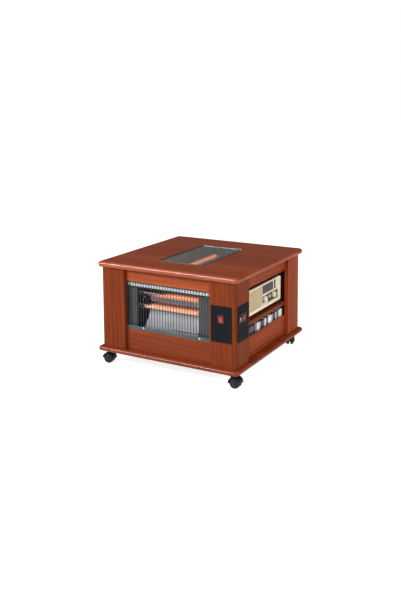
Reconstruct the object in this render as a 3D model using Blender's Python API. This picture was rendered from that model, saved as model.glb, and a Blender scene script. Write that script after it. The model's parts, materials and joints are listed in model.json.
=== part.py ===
"""Square coffee-table heater on casters, modelled in metres with +Z up.

The heater opening faces -Y and the open niche with the radio faces +X.
The origin is on the floor, under the middle of the cabinet.
"""
import math

import bmesh
import bpy
from mathutils import Matrix, Vector

# ---------------------------------------------------------------- driving dimensions
GAP = 0.0003                      # clearance between pieces that touch

CASTER_HEIGHT = 0.055             # floor to the base's underside
BASE_HALF = 0.3075
BASE_THICK = 0.018
TOP_HALF = 0.305
TOP_THICK = 0.022
TABLE_HEIGHT = 0.411              # floor to the top surface
PLAN_RADIUS = 0.016               # corner radius of both panels, seen from above

BASE_Z = CASTER_HEIGHT + BASE_THICK
TOP_Z = TABLE_HEIGHT - TOP_THICK
CASE_LOW = BASE_Z + GAP           # lowest and highest point of the standing boards
CASE_HIGH = TOP_Z - GAP

POST_FACE = 0.292                 # outer faces of the corner posts
FRONT_EDGE = 0.1865               # inner edges of the corner posts, along X
POST_EDGE = 0.180                 # and along Y
POST_THICK = 0.018
POST_RADIUS = 0.012
RAIL_FACE = 0.277                 # rails sit 13 mm behind the posts
RAIL_THICK = 0.016
BOARD_END = FRONT_EDGE - GAP
RAIL_END = POST_EDGE - GAP

OPENING_LOW = 0.154               # heater opening, between the front boards
OPENING_HIGH = 0.342
SIDE_RAIL_LOW = 0.340             # underside of the rail above the niche

NICHE_HALF = 0.1905               # inside half length of the niche, along Y
NICHE_BACK = 0.150                # face of the partition behind the niche
NICHE_BOARD = 0.014
SHELF_LOW = 0.197
SHELF_HIGH = 0.211

WINDOW_X = 0.100                  # window in the top
WINDOW_FRONT = -0.180
WINDOW_BACK = 0.170
RIM_WIDTH = 0.006
GLASS_LOW = 0.4055
GLASS_HIGH = 0.4095

TUBE_RADIUS = 0.0088
TUBE_Y = -0.250                   # both front tubes hang in this plane
UPPER_TUBE_Z = 0.297
LOWER_TUBE_Z = 0.2485
TUBE_HALF = 0.1625
HEATER_X = 0.0085                 # middle of the front tubes, along X
TOP_TUBE_RADIUS = 0.0065
TOP_TUBE_Z = 0.385
TOP_TUBE_HALF = 0.134

REFLECTOR_BACK = -0.230           # upright upper part of the reflector
REFLECTOR_BEND_Z = 0.235          # below this it curves forward
REFLECTOR_CURVE = 10.6            # metres forward per metre squared of height
REFLECTOR_LOW = 0.177
REFLECTOR_FOOT = 0.1563           # it stands on the housing's floor
REFLECTOR_HIGH = 0.330
REFLECTOR_HALF = 0.116

WIRE_PITCH = 0.0122
WIRE_WIDTH = 0.0028
GRILLE_Y = -0.2748                # front of the wires

PLATE_LOW = 0.169                 # control plates on the near corner post
PLATE_HIGH = 0.302
SWITCH_Z = 0.255
FRONT_SWITCH_X = 0.235
SIDE_SWITCH_Y = -0.2425
TWIN_OFFSET = 0.016               # from the middle of the side switch to each rocker
ROCKER_TILT = math.radians(12)

TIP_X = 0.1245                    # tip-over switch, under the base
TIP_Y = -0.172
TIP_RADIUS = 0.005

CASTER_INSET = 0.265
WHEEL_RADIUS = 0.020
WHEEL_WIDTH = 0.0135
WHEEL_INNER = 0.0035              # from the caster's middle plane to a wheel
AXLE_RADIUS = 0.0025
TRAIL = 0.014                     # swivel axis to axle
HOOD_INNER = 0.0213
HOOD_OUTER = 0.0235
HOOD_HALF = 0.019
STEM_RADIUS = 0.005
STEM_TOP = CASTER_HEIGHT + 0.014

RADIO_FACE = 0.265
RADIO_DEPTH = 0.090
RADIO_FRONT_Y = -0.145
RADIO_BACK_Y = 0.165
RADIO_LOW = 0.2225
RADIO_HIGH = 0.3215
KNOB_RADIUS = 0.0115

CASE_COUNT = 21                   # cassette cases standing in the drawer
CASE_PITCH = 0.0167
CASE_HEIGHT = 0.1035
CASE_DEPTH = 0.0695


# ---------------------------------------------------------------- helpers
def clear_scene():
    """Remove every object, so that the script starts from nothing."""
    for obj in list(bpy.data.objects):
        bpy.data.objects.remove(obj)


def material(name, color, roughness, metallic=0.0, alpha=1.0):
    """Return a Principled material of one colour."""
    mat = bpy.data.materials.new(name)
    mat.use_nodes = True
    shader = mat.node_tree.nodes["Principled BSDF"]
    shader.inputs["Base Color"].default_value = (*color, 1.0)
    shader.inputs["Roughness"].default_value = roughness
    shader.inputs["Metallic"].default_value = metallic
    shader.inputs["Alpha"].default_value = alpha
    return mat


def wood(name):
    return material(name, (0.20, 0.055, 0.025), 0.35)


def dark_metal(name):
    return material(name, (0.07, 0.075, 0.08), 0.45, 0.8)


def bright_metal(name):
    return material(name, (0.72, 0.73, 0.75), 0.2, 1.0)


def black_plastic(name):
    return material(name, (0.012, 0.012, 0.014), 0.4)


def red_plastic(name):
    return material(name, (0.6, 0.03, 0.03), 0.3)


def cream_plastic(name):
    return material(name, (0.78, 0.70, 0.52), 0.35)


def ceramic(name):
    return material(name, (0.82, 0.80, 0.74), 0.5)


def glowing_tube(name):
    """Return the material of a quartz tube in use."""
    mat = material(name, (0.95, 0.35, 0.12), 0.25)
    shader = mat.node_tree.nodes["Principled BSDF"]
    shader.inputs["Emission Color"].default_value = (1.0, 0.3, 0.08, 1.0)
    shader.inputs["Emission Strength"].default_value = 3.0
    return mat


def add(name, bm, make_material, origin=(0, 0, 0), smooth_angle=None):
    """Turn a bmesh, given in world coordinates, into a named object."""
    bmesh.ops.recalc_face_normals(bm, faces=bm.faces)
    if bm.calc_volume(signed=True) < 0:
        bmesh.ops.reverse_faces(bm, faces=bm.faces)
    bm.transform(Matrix.Translation(-Vector(origin)))
    mesh = bpy.data.meshes.new(name)
    bm.to_mesh(mesh)
    bm.free()
    if smooth_angle is not None:
        mesh.shade_smooth()
        mesh.set_sharp_from_angle(angle=smooth_angle)
    obj = bpy.data.objects.new(name, mesh)
    obj.location = origin
    if make_material:
        mesh.materials.append(make_material(name))
    bpy.context.collection.objects.link(obj)
    return obj


def box_mesh(low, high):
    """Return a bmesh box between two corners."""
    bm = bmesh.new()
    size = Vector(high) - Vector(low)
    middle = (Vector(high) + Vector(low)) / 2
    placed = Matrix.Translation(middle) @ Matrix.Diagonal((*size, 1.0))
    bmesh.ops.create_cube(bm, size=1.0, matrix=placed)
    return bm


def box(name, low, high, make_material):
    return add(name, box_mesh(low, high), make_material)


def prism_mesh(outline, start, end, axis="Z"):
    """Extrude an outline along an axis.

    The outline is in (X, Y) for axis Z, (Y, Z) for X and (X, Z) for Y.
    """
    place = {
        "Z": lambda a, b, c: (a, b, c),
        "X": lambda a, b, c: (c, a, b),
        "Y": lambda a, b, c: (a, c, b),
    }[axis]
    bm = bmesh.new()
    first = [bm.verts.new(place(a, b, start)) for a, b in outline]
    second = [bm.verts.new(place(a, b, end)) for a, b in outline]
    count = len(outline)
    for i in range(count):
        j = (i + 1) % count
        bm.faces.new((first[i], first[j], second[j], second[i]))
    caps = [bm.faces.new(first), bm.faces.new(second)]
    bm.normal_update()
    bmesh.ops.triangulate(bm, faces=caps)
    return bm


def turned_mesh(profile, segments, center, axis):
    """Turn a closed (radius, height) profile about an axis through center.

    A point with radius 0 becomes a pole.
    """
    turn = Vector((0, 0, 1)).rotation_difference(Vector(axis)).to_matrix().to_4x4()
    placed = Matrix.Translation(center) @ turn
    bm = bmesh.new()
    rings = []
    for radius, height in profile:
        if radius == 0:
            pole = bm.verts.new(placed @ Vector((0, 0, height)))
            rings.append([pole] * segments)
            continue
        ring = []
        for i in range(segments):
            angle = 2 * math.pi * i / segments
            point = Vector((radius * math.cos(angle), radius * math.sin(angle), height))
            ring.append(bm.verts.new(placed @ point))
        rings.append(ring)
    closed = profile[0][0] != 0
    spans = len(rings) if closed else len(rings) - 1
    for k in range(spans):
        ring, other = rings[k], rings[(k + 1) % len(rings)]
        for i in range(segments):
            j = (i + 1) % segments
            corners = [ring[i], ring[j], other[j], other[i]]
            unique = list(dict.fromkeys(corners))
            if len(unique) > 2:
                bm.faces.new(unique)
    return bm


def rod_mesh(radius, start, end, segments=16):
    """Return a solid cylinder between two points."""
    start, end = Vector(start), Vector(end)
    length = (end - start).length
    profile = [(0, 0), (radius, 0), (radius, length), (0, length)]
    return turned_mesh(profile, segments, start, (end - start).normalized())


def combine(obj, bm, operation):
    """Cut a shape from an object, or join it on, with a hidden helper object."""
    helper = add("helper_" + obj.name, bm, None, obj.location)
    helper.hide_render = True
    helper.display_type = "WIRE"
    modifier = obj.modifiers.new(operation.lower(), "BOOLEAN")
    modifier.operation = operation
    modifier.solver = "EXACT"
    modifier.object = helper


def cut(obj, bm):
    combine(obj, bm, "DIFFERENCE")


def join(obj, bm):
    combine(obj, bm, "UNION")


def round_corner(center, radius, start, steps):
    """Return the points of a quarter circle, in order of rising angle."""
    points = []
    for i in range(steps + 1):
        angle = start + math.pi / 2 * i / steps
        points.append((center[0] + radius * math.cos(angle), center[1] + radius * math.sin(angle)))
    return points


def rounded_square(half, radius, steps=5):
    """Return a square outline with round corners."""
    inner = half - radius
    outline = []
    for k, (sx, sy) in enumerate(((1, 1), (-1, 1), (-1, -1), (1, -1))):
        outline += round_corner((sx * inner, sy * inner), radius, k * math.pi / 2, steps)
    return outline


# ---------------------------------------------------------------- cabinet
def bullnose_panel(name, half, low, high, edge):
    """Make a square panel whose rim is rounded above and below."""
    bm = bmesh.new()
    outline = rounded_square(half, PLAN_RADIUS)
    lower = bm.faces.new([bm.verts.new((x, y, low)) for x, y in reversed(outline)])
    raised = bmesh.ops.extrude_face_region(bm, geom=[lower])
    upper = [v for v in raised["geom"] if isinstance(v, bmesh.types.BMVert)]
    bmesh.ops.translate(bm, verts=upper, vec=(0, 0, high - low))
    bmesh.ops.recalc_face_normals(bm, faces=bm.faces)
    rims = [e for e in bm.edges if e.verts[0].co.z == e.verts[1].co.z]
    bmesh.ops.bevel(bm, geom=rims, offset=edge, segments=4, profile=0.5, affect="EDGES")
    return add(name, bm, wood, smooth_angle=math.radians(40))


def make_panels():
    top = bullnose_panel("top_panel", TOP_HALF, TOP_Z, TABLE_HEIGHT, 0.010)
    cut(top, box_mesh(
        (-WINDOW_X, WINDOW_FRONT, TOP_Z - 0.01),
        (WINDOW_X, WINDOW_BACK, TABLE_HEIGHT + 0.01)))

    base = bullnose_panel("base_panel", BASE_HALF, CASTER_HEIGHT, BASE_Z, 0.008)
    below, clear = CASTER_HEIGHT - 0.01, 0.0006
    for x in (-CASTER_INSET, CASTER_INSET):
        for y in (-CASTER_INSET, CASTER_INSET):
            cut(base, rod_mesh(STEM_RADIUS + clear, (x, y, below), (x, y, STEM_TOP + 0.0005)))
    cut(base, rod_mesh(TIP_RADIUS + clear, (TIP_X, TIP_Y, below), (TIP_X, TIP_Y, BASE_Z + 0.01)))


def post_outline():
    """Return the L-shaped section of the post in the +X +Y corner."""
    inner = POST_FACE - POST_THICK
    middle = POST_FACE - POST_RADIUS
    outline = [(FRONT_EDGE, inner), (inner, inner), (inner, POST_EDGE), (POST_FACE, POST_EDGE)]
    outline += round_corner((middle, middle), POST_RADIUS, 0.0, 6)
    outline.append((FRONT_EDGE, POST_FACE))
    return outline


def make_posts():
    for side_y, y_name in ((-1, "front"), (1, "back")):
        for side_x, x_name in ((-1, "left"), (1, "right")):
            outline = [(side_x * x, side_y * y) for x, y in post_outline()]
            name = "corner_post_" + y_name + "_" + x_name
            bm = prism_mesh(outline, CASE_LOW, CASE_HIGH)
            post = add(name, bm, wood, smooth_angle=math.radians(30))
            if name == "corner_post_front_right":
                cut_switch_holes(post)


def cut_switch_holes(post):
    """Cut one hole through each leg of the post, for the two switch bodies."""
    half_w, half_h = 0.0115, 0.0140
    deep = POST_FACE - POST_THICK - 0.002
    out = POST_FACE + 0.002
    cut(post, box_mesh(
        (FRONT_SWITCH_X - half_w, -out, SWITCH_Z - half_h),
        (FRONT_SWITCH_X + half_w, -deep, SWITCH_Z + half_h)))
    half_w += TWIN_OFFSET
    cut(post, box_mesh(
        (deep, SIDE_SWITCH_Y - half_w, SWITCH_Z - half_h),
        (out, SIDE_SWITCH_Y + half_w, SWITCH_Z + half_h)))


def make_boards():
    back = RAIL_FACE - RAIL_THICK
    box("front_upper_rail", (-BOARD_END, -RAIL_FACE, OPENING_HIGH), (BOARD_END, -back, CASE_HIGH), wood)
    box("front_lower_panel", (-BOARD_END, -RAIL_FACE, CASE_LOW), (BOARD_END, -back, OPENING_LOW), wood)
    box("side_upper_rail", (back, -RAIL_END, SIDE_RAIL_LOW), (RAIL_FACE, RAIL_END, CASE_HIGH), wood)
    box("left_side_panel", (-RAIL_FACE, -RAIL_END, CASE_LOW), (-back, RAIL_END, CASE_HIGH), wood)
    make_back_panel(back)


def make_back_panel(back):
    """Make the back board, with two rows of vent slots and a hole for the cord gland."""
    panel = box("back_panel", (-BOARD_END, back, CASE_LOW), (BOARD_END, RAIL_FACE, CASE_HIGH), wood)
    inside, outside = back - 0.01, RAIL_FACE + 0.01
    slot_pitch, slot_half, slot_high, slot_count = 0.022, 0.003, 0.040, 11
    for low in (0.265, 0.320):
        for i in range(slot_count):
            x = (i - (slot_count - 1) / 2) * slot_pitch
            cut(panel, box_mesh((x - slot_half, inside, low), (x + slot_half, outside, low + slot_high)))
    hole = GLAND_RADIUS + GAP
    cut(panel, rod_mesh(hole, (GLAND_X, inside, GLAND_Z), (GLAND_X, outside, GLAND_Z), 20))


def make_niche():
    """Make the boards that line the open niche on the +X side."""
    partition_back = NICHE_BACK - NICHE_BOARD
    wall_out = NICHE_HALF + NICHE_BOARD
    inner_face = POST_FACE - POST_THICK - GAP
    start = NICHE_BACK + GAP
    box("niche_partition", (partition_back, -wall_out, CASE_LOW), (NICHE_BACK, wall_out, CASE_HIGH), wood)
    box("niche_front_wall", (start, -wall_out, CASE_LOW), (inner_face, -NICHE_HALF, CASE_HIGH), wood)
    box("niche_rear_wall", (start, NICHE_HALF, CASE_LOW), (inner_face, wall_out, CASE_HIGH), wood)

    half = NICHE_HALF - GAP
    outline = [(start, -half), (inner_face, -half), (inner_face, -RAIL_END), (RAIL_FACE, -RAIL_END),
               (RAIL_FACE, RAIL_END), (inner_face, RAIL_END), (inner_face, half), (start, half)]
    add("niche_shelf", prism_mesh(outline, SHELF_LOW, SHELF_HIGH), wood)


# ---------------------------------------------------------------- drawer and its cases
DRAWER_GAP = 0.0012
DRAWER_FRONT_THICK = 0.008
TRAY_FLOOR_LOW = BASE_Z + 0.0015
TRAY_FLOOR = 0.003


def make_drawer():
    """Make the shallow drawer under the shelf, with its row of cases."""
    front_half = POST_EDGE - DRAWER_GAP
    back = RAIL_FACE - DRAWER_FRONT_THICK
    box("drawer_front", (back, -front_half, TRAY_FLOOR_LOW), (RAIL_FACE, front_half, OPENING_LOW),
        wood)

    tray_half, tray_back, tray_high, wall = 0.1775, 0.155, 0.110, 0.0015
    tray_front = back - GAP
    tray = box("drawer_tray", (tray_back, -tray_half, TRAY_FLOOR_LOW),
               (tray_front, tray_half, tray_high), dark_metal)
    cut(tray, box_mesh(
        (tray_back + wall, -tray_half + wall, TRAY_FLOOR_LOW + TRAY_FLOOR),
        (tray_front - wall, tray_half - wall, tray_high + 0.01)))

    make_cases(tray_front - wall - 0.0007)


def make_cases(face_x):
    """Make the standing cases as one comb, joined only along their backs."""
    slot_half, spine = 0.0005, 0.008
    back_x = face_x - CASE_DEPTH
    half = CASE_COUNT * CASE_PITCH / 2
    outline = [(back_x, half), (back_x, -half), (face_x, -half)]
    for i in range(1, CASE_COUNT):
        y = -half + i * CASE_PITCH
        outline += [(face_x, y - slot_half), (back_x + spine, y - slot_half),
                    (back_x + spine, y + slot_half), (face_x, y + slot_half)]
    outline.append((face_x, half))
    floor = TRAY_FLOOR_LOW + TRAY_FLOOR + GAP
    add("media_case_row", prism_mesh(outline, floor, floor + CASE_HEIGHT),
        lambda name: material(name, (0.35, 0.37, 0.40), 0.3))


# ---------------------------------------------------------------- front heater
HOUSING_X = 0.185
HOUSING_FRONT = -0.2710
HOUSING_BACK = -0.2065
HOUSING_LOW = OPENING_LOW + 0.0005
HOUSING_HIGH = OPENING_HIGH - 0.0005
SHEET = 0.0015
LIP_FRONT = -0.2768
LIP_HIGH = 0.1695
STRIP_LOW = 0.3185                # underside of the bright strip
STRIP_HIGH = 0.3352
CROSS_WIRE_Z = 0.2445             # the one level wire of the guard
BAFFLE_EDGES = (-0.145, 0.128)    # the side baffles leave this span open
BAFFLE_FRONT = -0.265


def make_housing():
    """Make the sheet-metal box: a tray open to the front, with side baffles and a lip."""
    housing = box("heater_housing", (-HOUSING_X, HOUSING_FRONT, HOUSING_LOW),
                  (HOUSING_X, HOUSING_BACK, HOUSING_HIGH), dark_metal)
    cut(housing, box_mesh(
        (-HOUSING_X + SHEET, HOUSING_FRONT - 0.01, HOUSING_LOW + SHEET),
        (HOUSING_X - SHEET, HOUSING_BACK - SHEET, HOUSING_HIGH - SHEET)))
    bite = 0.0005
    for side, inner in zip((-1, 1), BAFFLE_EDGES):
        edges = sorted((inner, side * (HOUSING_X - SHEET + bite)))
        join(housing, box_mesh(
            (edges[0], BAFFLE_FRONT, HOUSING_LOW + SHEET - bite),
            (edges[1], BAFFLE_FRONT + SHEET, HOUSING_HIGH - SHEET + bite)))
    join(housing, box_mesh(
        (-HOUSING_X, LIP_FRONT, HOUSING_LOW),
        (HOUSING_X, HOUSING_FRONT + SHEET, HOUSING_LOW + SHEET)))
    join(housing, box_mesh(
        (-HOUSING_X, LIP_FRONT, HOUSING_LOW + SHEET - bite),
        (HOUSING_X, LIP_FRONT + SHEET, LIP_HIGH)))


def make_grille():
    """Make the wire guard as one flat lattice: upright wires between two rails."""
    rail, thickness = 0.003, 0.0026
    low, high = HOUSING_LOW + SHEET + 0.0005, OPENING_HIGH - 0.0008
    count = int(2 * HOUSING_X / WIRE_PITCH)
    half_span = (count * WIRE_PITCH - WIRE_WIDTH) / 2
    columns = [-half_span - WIRE_WIDTH]
    for i in range(count):
        start = -half_span + i * WIRE_PITCH
        columns += [start, start + WIRE_PITCH - WIRE_WIDTH]
    columns.append(columns[-1] + WIRE_WIDTH)
    rows = [low, low + rail, CROSS_WIRE_Z, CROSS_WIRE_Z + 0.002, high - rail, high]
    lattice("wire_grille", columns, rows, GRILLE_Y, thickness, dark_metal)


def lattice(name, columns, rows, plane_y, thickness, make_material):
    """Make a flat grid of bars, whose holes are every second cell each way."""
    bm = bmesh.new()
    grid = [[bm.verts.new((x, plane_y, z)) for z in rows] for x in columns]
    for i in range(len(columns) - 1):
        for j in range(len(rows) - 1):
            if i % 2 == 1 and j % 2 == 1:
                continue
            bm.faces.new((grid[i][j], grid[i + 1][j], grid[i + 1][j + 1], grid[i][j + 1]))
    raised = bmesh.ops.extrude_face_region(bm, geom=list(bm.faces))
    moved = [v for v in raised["geom"] if isinstance(v, bmesh.types.BMVert)]
    bmesh.ops.translate(bm, verts=moved, vec=(0, thickness, 0))
    return add(name, bm, make_material)


def reflector_y(z):
    """Return the reflector's depth at a height."""
    return REFLECTOR_BACK - REFLECTOR_CURVE * min(0.0, z - REFLECTOR_BEND_Z) ** 2


def make_reflector():
    """Make the reflector behind both tubes, with its upright foot, and the strip above it."""
    steps, thick = 5, 0.0020
    rise = (REFLECTOR_BEND_Z - REFLECTOR_LOW) / steps
    heights = [REFLECTOR_LOW + rise * i for i in range(steps + 1)] + [REFLECTOR_HIGH]
    front = [(reflector_y(REFLECTOR_LOW), REFLECTOR_FOOT)] + [(reflector_y(z), z) for z in heights]
    rear = [(y + thick, z) for y, z in reversed(front)]
    start, end = HEATER_X - REFLECTOR_HALF, HEATER_X + REFLECTOR_HALF
    add("reflector", prism_mesh(front + rear, start, end, "X"), bright_metal,
        smooth_angle=math.radians(40))
    half = HOUSING_X - SHEET - GAP
    box("deflector_strip", (-half, HOUSING_FRONT + 0.0002, STRIP_LOW),
        (half, HOUSING_FRONT + 0.0022, STRIP_HIGH), bright_metal)


def make_brackets():
    """Make the two end plates, which flare out to the front, each with a socket for every tube."""
    plate, low, high = 0.0015, 0.172, 0.330
    front, back = (0.1505, -0.2630), (0.1173, -0.2083)
    socket_radius, socket_inner, socket_outer = 0.0118, 0.1270, 0.1520
    for side, name in ((-1, "tube_bracket_left"), (1, "tube_bracket_right")):
        outline = [(HEATER_X + side * x, y) for x, y in (
            front, (front[0] + plate, front[1]), (back[0] + plate, back[1]), back)]
        bracket = add(name, prism_mesh(outline, low, high), black_plastic)
        inner, outer = HEATER_X + side * socket_inner, HEATER_X + side * socket_outer
        for z in (LOWER_TUBE_Z, UPPER_TUBE_Z):
            join(bracket, rod_mesh(socket_radius, (inner, TUBE_Y, z), (outer, TUBE_Y, z)))
        start, end = inner - side * 0.01, outer + side * 0.02
        for z in (LOWER_TUBE_Z, UPPER_TUBE_Z):
            cut(bracket, rod_mesh(TUBE_RADIUS + 0.0004, (start, TUBE_Y, z), (end, TUBE_Y, z)))


def make_front_tubes():
    for name, z in (("upper_tube", UPPER_TUBE_Z), ("lower_tube", LOWER_TUBE_Z)):
        start, end = (HEATER_X - TUBE_HALF, TUBE_Y, z), (HEATER_X + TUBE_HALF, TUBE_Y, z)
        add(name, rod_mesh(TUBE_RADIUS, start, end), glowing_tube, smooth_angle=math.radians(40))


# ---------------------------------------------------------------- top heater and window
def make_window():
    """Make the rim and the glass, which lie in the hole of the top panel."""
    low = TOP_Z + 0.004
    x, front, back = WINDOW_X - GAP, WINDOW_FRONT + GAP, WINDOW_BACK - GAP
    rim = box("top_window_frame", (-x, front, low), (x, back, TABLE_HEIGHT + 0.0005), bright_metal)
    above = TABLE_HEIGHT + 0.01
    seat = RIM_WIDTH - GAP
    cut(rim, box_mesh((-x + seat, front + seat, GLASS_LOW - GAP), (x - seat, back - seat, above)))
    ledge = seat + 0.004
    cut(rim, box_mesh((-x + ledge, front + ledge, low - 0.01), (x - ledge, back - ledge, above)))
    inset = seat + GAP
    box("top_glass", (-x + inset, front + inset, GLASS_LOW), (x - inset, back - inset, GLASS_HIGH),
        lambda name: material(name, (0.35, 0.40, 0.42), 0.05, 0.0, 0.35))


TRAY_X = 0.106
TRAY_FRONT = -0.186
TRAY_BACK = 0.176
TRAY_LOW = 0.3490
TOP_TUBE_MIDDLE = (WINDOW_FRONT + WINDOW_BACK) / 2


def make_top_heater():
    """Make the open tray under the window, with one tube along Y in a bracket with two uprights."""
    tray = box("top_reflector_tray", (-TRAY_X, TRAY_FRONT, TRAY_LOW),
               (TRAY_X, TRAY_BACK, CASE_HIGH), dark_metal)
    cut(tray, box_mesh((-TRAY_X + SHEET, TRAY_FRONT + SHEET, TRAY_LOW + SHEET),
                       (TRAY_X - SHEET, TRAY_BACK - SHEET, CASE_HIGH + 0.01)))
    start = (0, TOP_TUBE_MIDDLE - TOP_TUBE_HALF, TOP_TUBE_Z)
    end = (0, TOP_TUBE_MIDDLE + TOP_TUBE_HALF, TOP_TUBE_Z)
    add("top_tube", rod_mesh(TOP_TUBE_RADIUS, start, end), glowing_tube, smooth_angle=math.radians(40))

    grip, overhang, half_w, strip = 0.014, 0.004, 0.012, 0.0015
    far = TOP_TUBE_HALF + overhang
    floor = TRAY_LOW + SHEET + GAP
    bracket = box("top_tube_bracket", (-half_w, TOP_TUBE_MIDDLE - far, floor),
                  (half_w, TOP_TUBE_MIDDLE + far, TOP_TUBE_Z + 0.0105), ceramic)
    cut(bracket, box_mesh((-half_w - 0.01, TOP_TUBE_MIDDLE - TOP_TUBE_HALF + grip, floor + strip),
                          (half_w + 0.01, TOP_TUBE_MIDDLE + TOP_TUBE_HALF - grip, TOP_TUBE_Z + 0.02)))
    hole = TOP_TUBE_HALF + 0.0005
    cut(bracket, rod_mesh(TOP_TUBE_RADIUS + 0.0004, (0, TOP_TUBE_MIDDLE - hole, TOP_TUBE_Z),
                          (0, TOP_TUBE_MIDDLE + hole, TOP_TUBE_Z)))


# ---------------------------------------------------------------- controls
PLATE_THICK = 0.0020
BEZEL_THICK = 0.0015
SWITCH_DEPTH = 0.030
CAVITY_HALF_W = 0.0083
CAVITY_HALF_H = 0.0118
ROCKER_HALF_W = 0.0076
ROCKER_HALF_H = 0.0105


def facing(center, outward):
    """Return a matrix from switch coordinates to the world.

    In switch coordinates X runs across, Y runs into the cabinet and Z is up.
    """
    turn = Vector((0, -1, 0)).rotation_difference(Vector(outward)).to_matrix().to_4x4()
    return Matrix.Translation(center) @ turn


def placed_box(matrix, low, high):
    bm = box_mesh(low, high)
    bm.transform(matrix)
    return bm


def make_control(prefix, center, outward, half_plate, rockers):
    """Make one control plate with its switch body and its rockers.

    The center is on the post's face, at the middle of the switch, half_plate holds
    the plate's reach to each side of it, and rockers holds each rocker's name and offset.
    """
    matrix = facing(center, outward)
    reach = max(offset for name, offset in rockers)
    plate_low, plate_high = PLATE_LOW - SWITCH_Z, PLATE_HIGH - SWITCH_Z
    plate_front = -GAP - PLATE_THICK
    hole, hole_high = reach + 0.0110, 0.0140
    body, body_high = reach + 0.0105, 0.0135
    bezel, bezel_high = reach + 0.0130, 0.0160

    bm = placed_box(matrix, (-half_plate[0], plate_front, plate_low), (half_plate[1], -GAP, plate_high))
    plate = add(prefix + "_control_plate", bm, black_plastic)
    cut(plate, placed_box(matrix, (-hole, -0.01, -hole_high), (hole, 0.01, hole_high)))

    bezel_back = plate_front - GAP
    bezel_front = bezel_back - BEZEL_THICK
    bm = placed_box(matrix, (-bezel, bezel_front, -bezel_high), (bezel, bezel_back, bezel_high))
    switch = add(prefix + "_switch_body", bm, black_plastic)
    join(switch, placed_box(matrix, (-body, bezel_back - 0.0005, -body_high),
                            (body, SWITCH_DEPTH, body_high)))
    for name, offset in rockers:
        cut(switch, placed_box(matrix, (offset - CAVITY_HALF_W, bezel_front - 0.01, -CAVITY_HALF_H),
                               (offset + CAVITY_HALF_W, 0.0085, CAVITY_HALF_H)))
        make_rocker(name, matrix @ Matrix.Translation((offset, 0, 0)))


def make_rocker(name, matrix):
    """Make a V-faced rocker that turns on the switch's own X axis."""
    proud, valley, deep = -0.0058, -0.0036, 0.0070
    outline = [(proud, -ROCKER_HALF_H), (valley, 0.0), (proud, ROCKER_HALF_H),
               (0.0010, ROCKER_HALF_H), (deep, 0.0045), (deep, -0.0045), (0.0010, -ROCKER_HALF_H)]
    bm = prism_mesh(outline, -ROCKER_HALF_W, ROCKER_HALF_W, "X")
    bmesh.ops.rotate(bm, verts=bm.verts, cent=(0, 0, 0), matrix=Matrix.Rotation(ROCKER_TILT, 3, "X"))
    bm.transform(matrix)
    add(name, bm, red_plastic, origin=matrix.translation)


def make_controls():
    """Make the single switch on the post's front face and the twin switch on its side."""
    make_control("front", (FRONT_SWITCH_X, -POST_FACE, SWITCH_Z), (0, -1, 0), (0.041, 0.043),
                 (("front_rocker", 0),))
    make_control("side", (POST_FACE, SIDE_SWITCH_Y, SWITCH_Z), (1, 0, 0), (0.0335, 0.0545),
                 (("side_rocker_near", -TWIN_OFFSET), ("side_rocker_far", TWIN_OFFSET)))


def make_tip_switch():
    """Make the tip-over switch: a plunger through the base that the floor holds up."""
    low = BASE_Z + GAP
    body = box("tip_switch_body", (TIP_X - 0.0170, TIP_Y - 0.012, low),
               (TIP_X + 0.0100, TIP_Y + 0.012, 0.112), black_plastic)
    cut(body, rod_mesh(0.0078, (TIP_X, TIP_Y, low - 0.01), (TIP_X, TIP_Y, 0.0845)))
    cut(body, rod_mesh(0.0035, (TIP_X, TIP_Y, low - 0.01), (TIP_X, TIP_Y, 0.1010)))
    profile = [(0, 0.0002), (0.0035, 0.0002), (TIP_RADIUS, 0.0020), (TIP_RADIUS, 0.0795), (0.0070, 0.0795),
               (0.0070, 0.0825), (0.0030, 0.0825), (0.0030, 0.0950), (0, 0.0950)]
    add("tip_switch_plunger", turned_mesh(profile, 16, (TIP_X, TIP_Y, 0), (0, 0, 1)), black_plastic,
        smooth_angle=math.radians(40))


GLAND_X = -0.120
GLAND_Z = 0.105
GLAND_RADIUS = 0.0080             # barrel through the back panel


def make_wiring_parts():
    """Make the cut-out on the housing, the terminal block and the cord gland."""
    cutout = add("thermal_cutout", rod_mesh(0.010, (0.020, HOUSING_BACK + GAP, 0.300),
                 (0.020, HOUSING_BACK + 0.012, 0.300)), ceramic, smooth_angle=math.radians(40))
    join(cutout, box_mesh((0.004, HOUSING_BACK + GAP, 0.296), (0.036, HOUSING_BACK + 0.0018, 0.304)))

    block = box("terminal_block", (-0.145, 0.165, BASE_Z + GAP), (-0.085, 0.185, BASE_Z + 0.017), ceramic)
    for i in range(4):
        x = -0.1375 + i * 0.015
        cut(block, rod_mesh(0.0025, (x, 0.175, BASE_Z + 0.008), (x, 0.175, BASE_Z + 0.03), 12))

    back = RAIL_FACE - RAIL_THICK
    bore, flange, nose = 0.0042, 0.0115, 0.0075
    profile = [(bore, back - 0.004), (GLAND_RADIUS, back - 0.004), (GLAND_RADIUS, RAIL_FACE + GAP),
               (flange, RAIL_FACE + GAP), (flange, RAIL_FACE + 0.003), (nose, RAIL_FACE + 0.008),
               (bore, RAIL_FACE + 0.008)]
    add("cord_gland", turned_mesh(profile, 20, (GLAND_X, 0, GLAND_Z), (0, 1, 0)), black_plastic,
        smooth_angle=math.radians(40))


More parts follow.
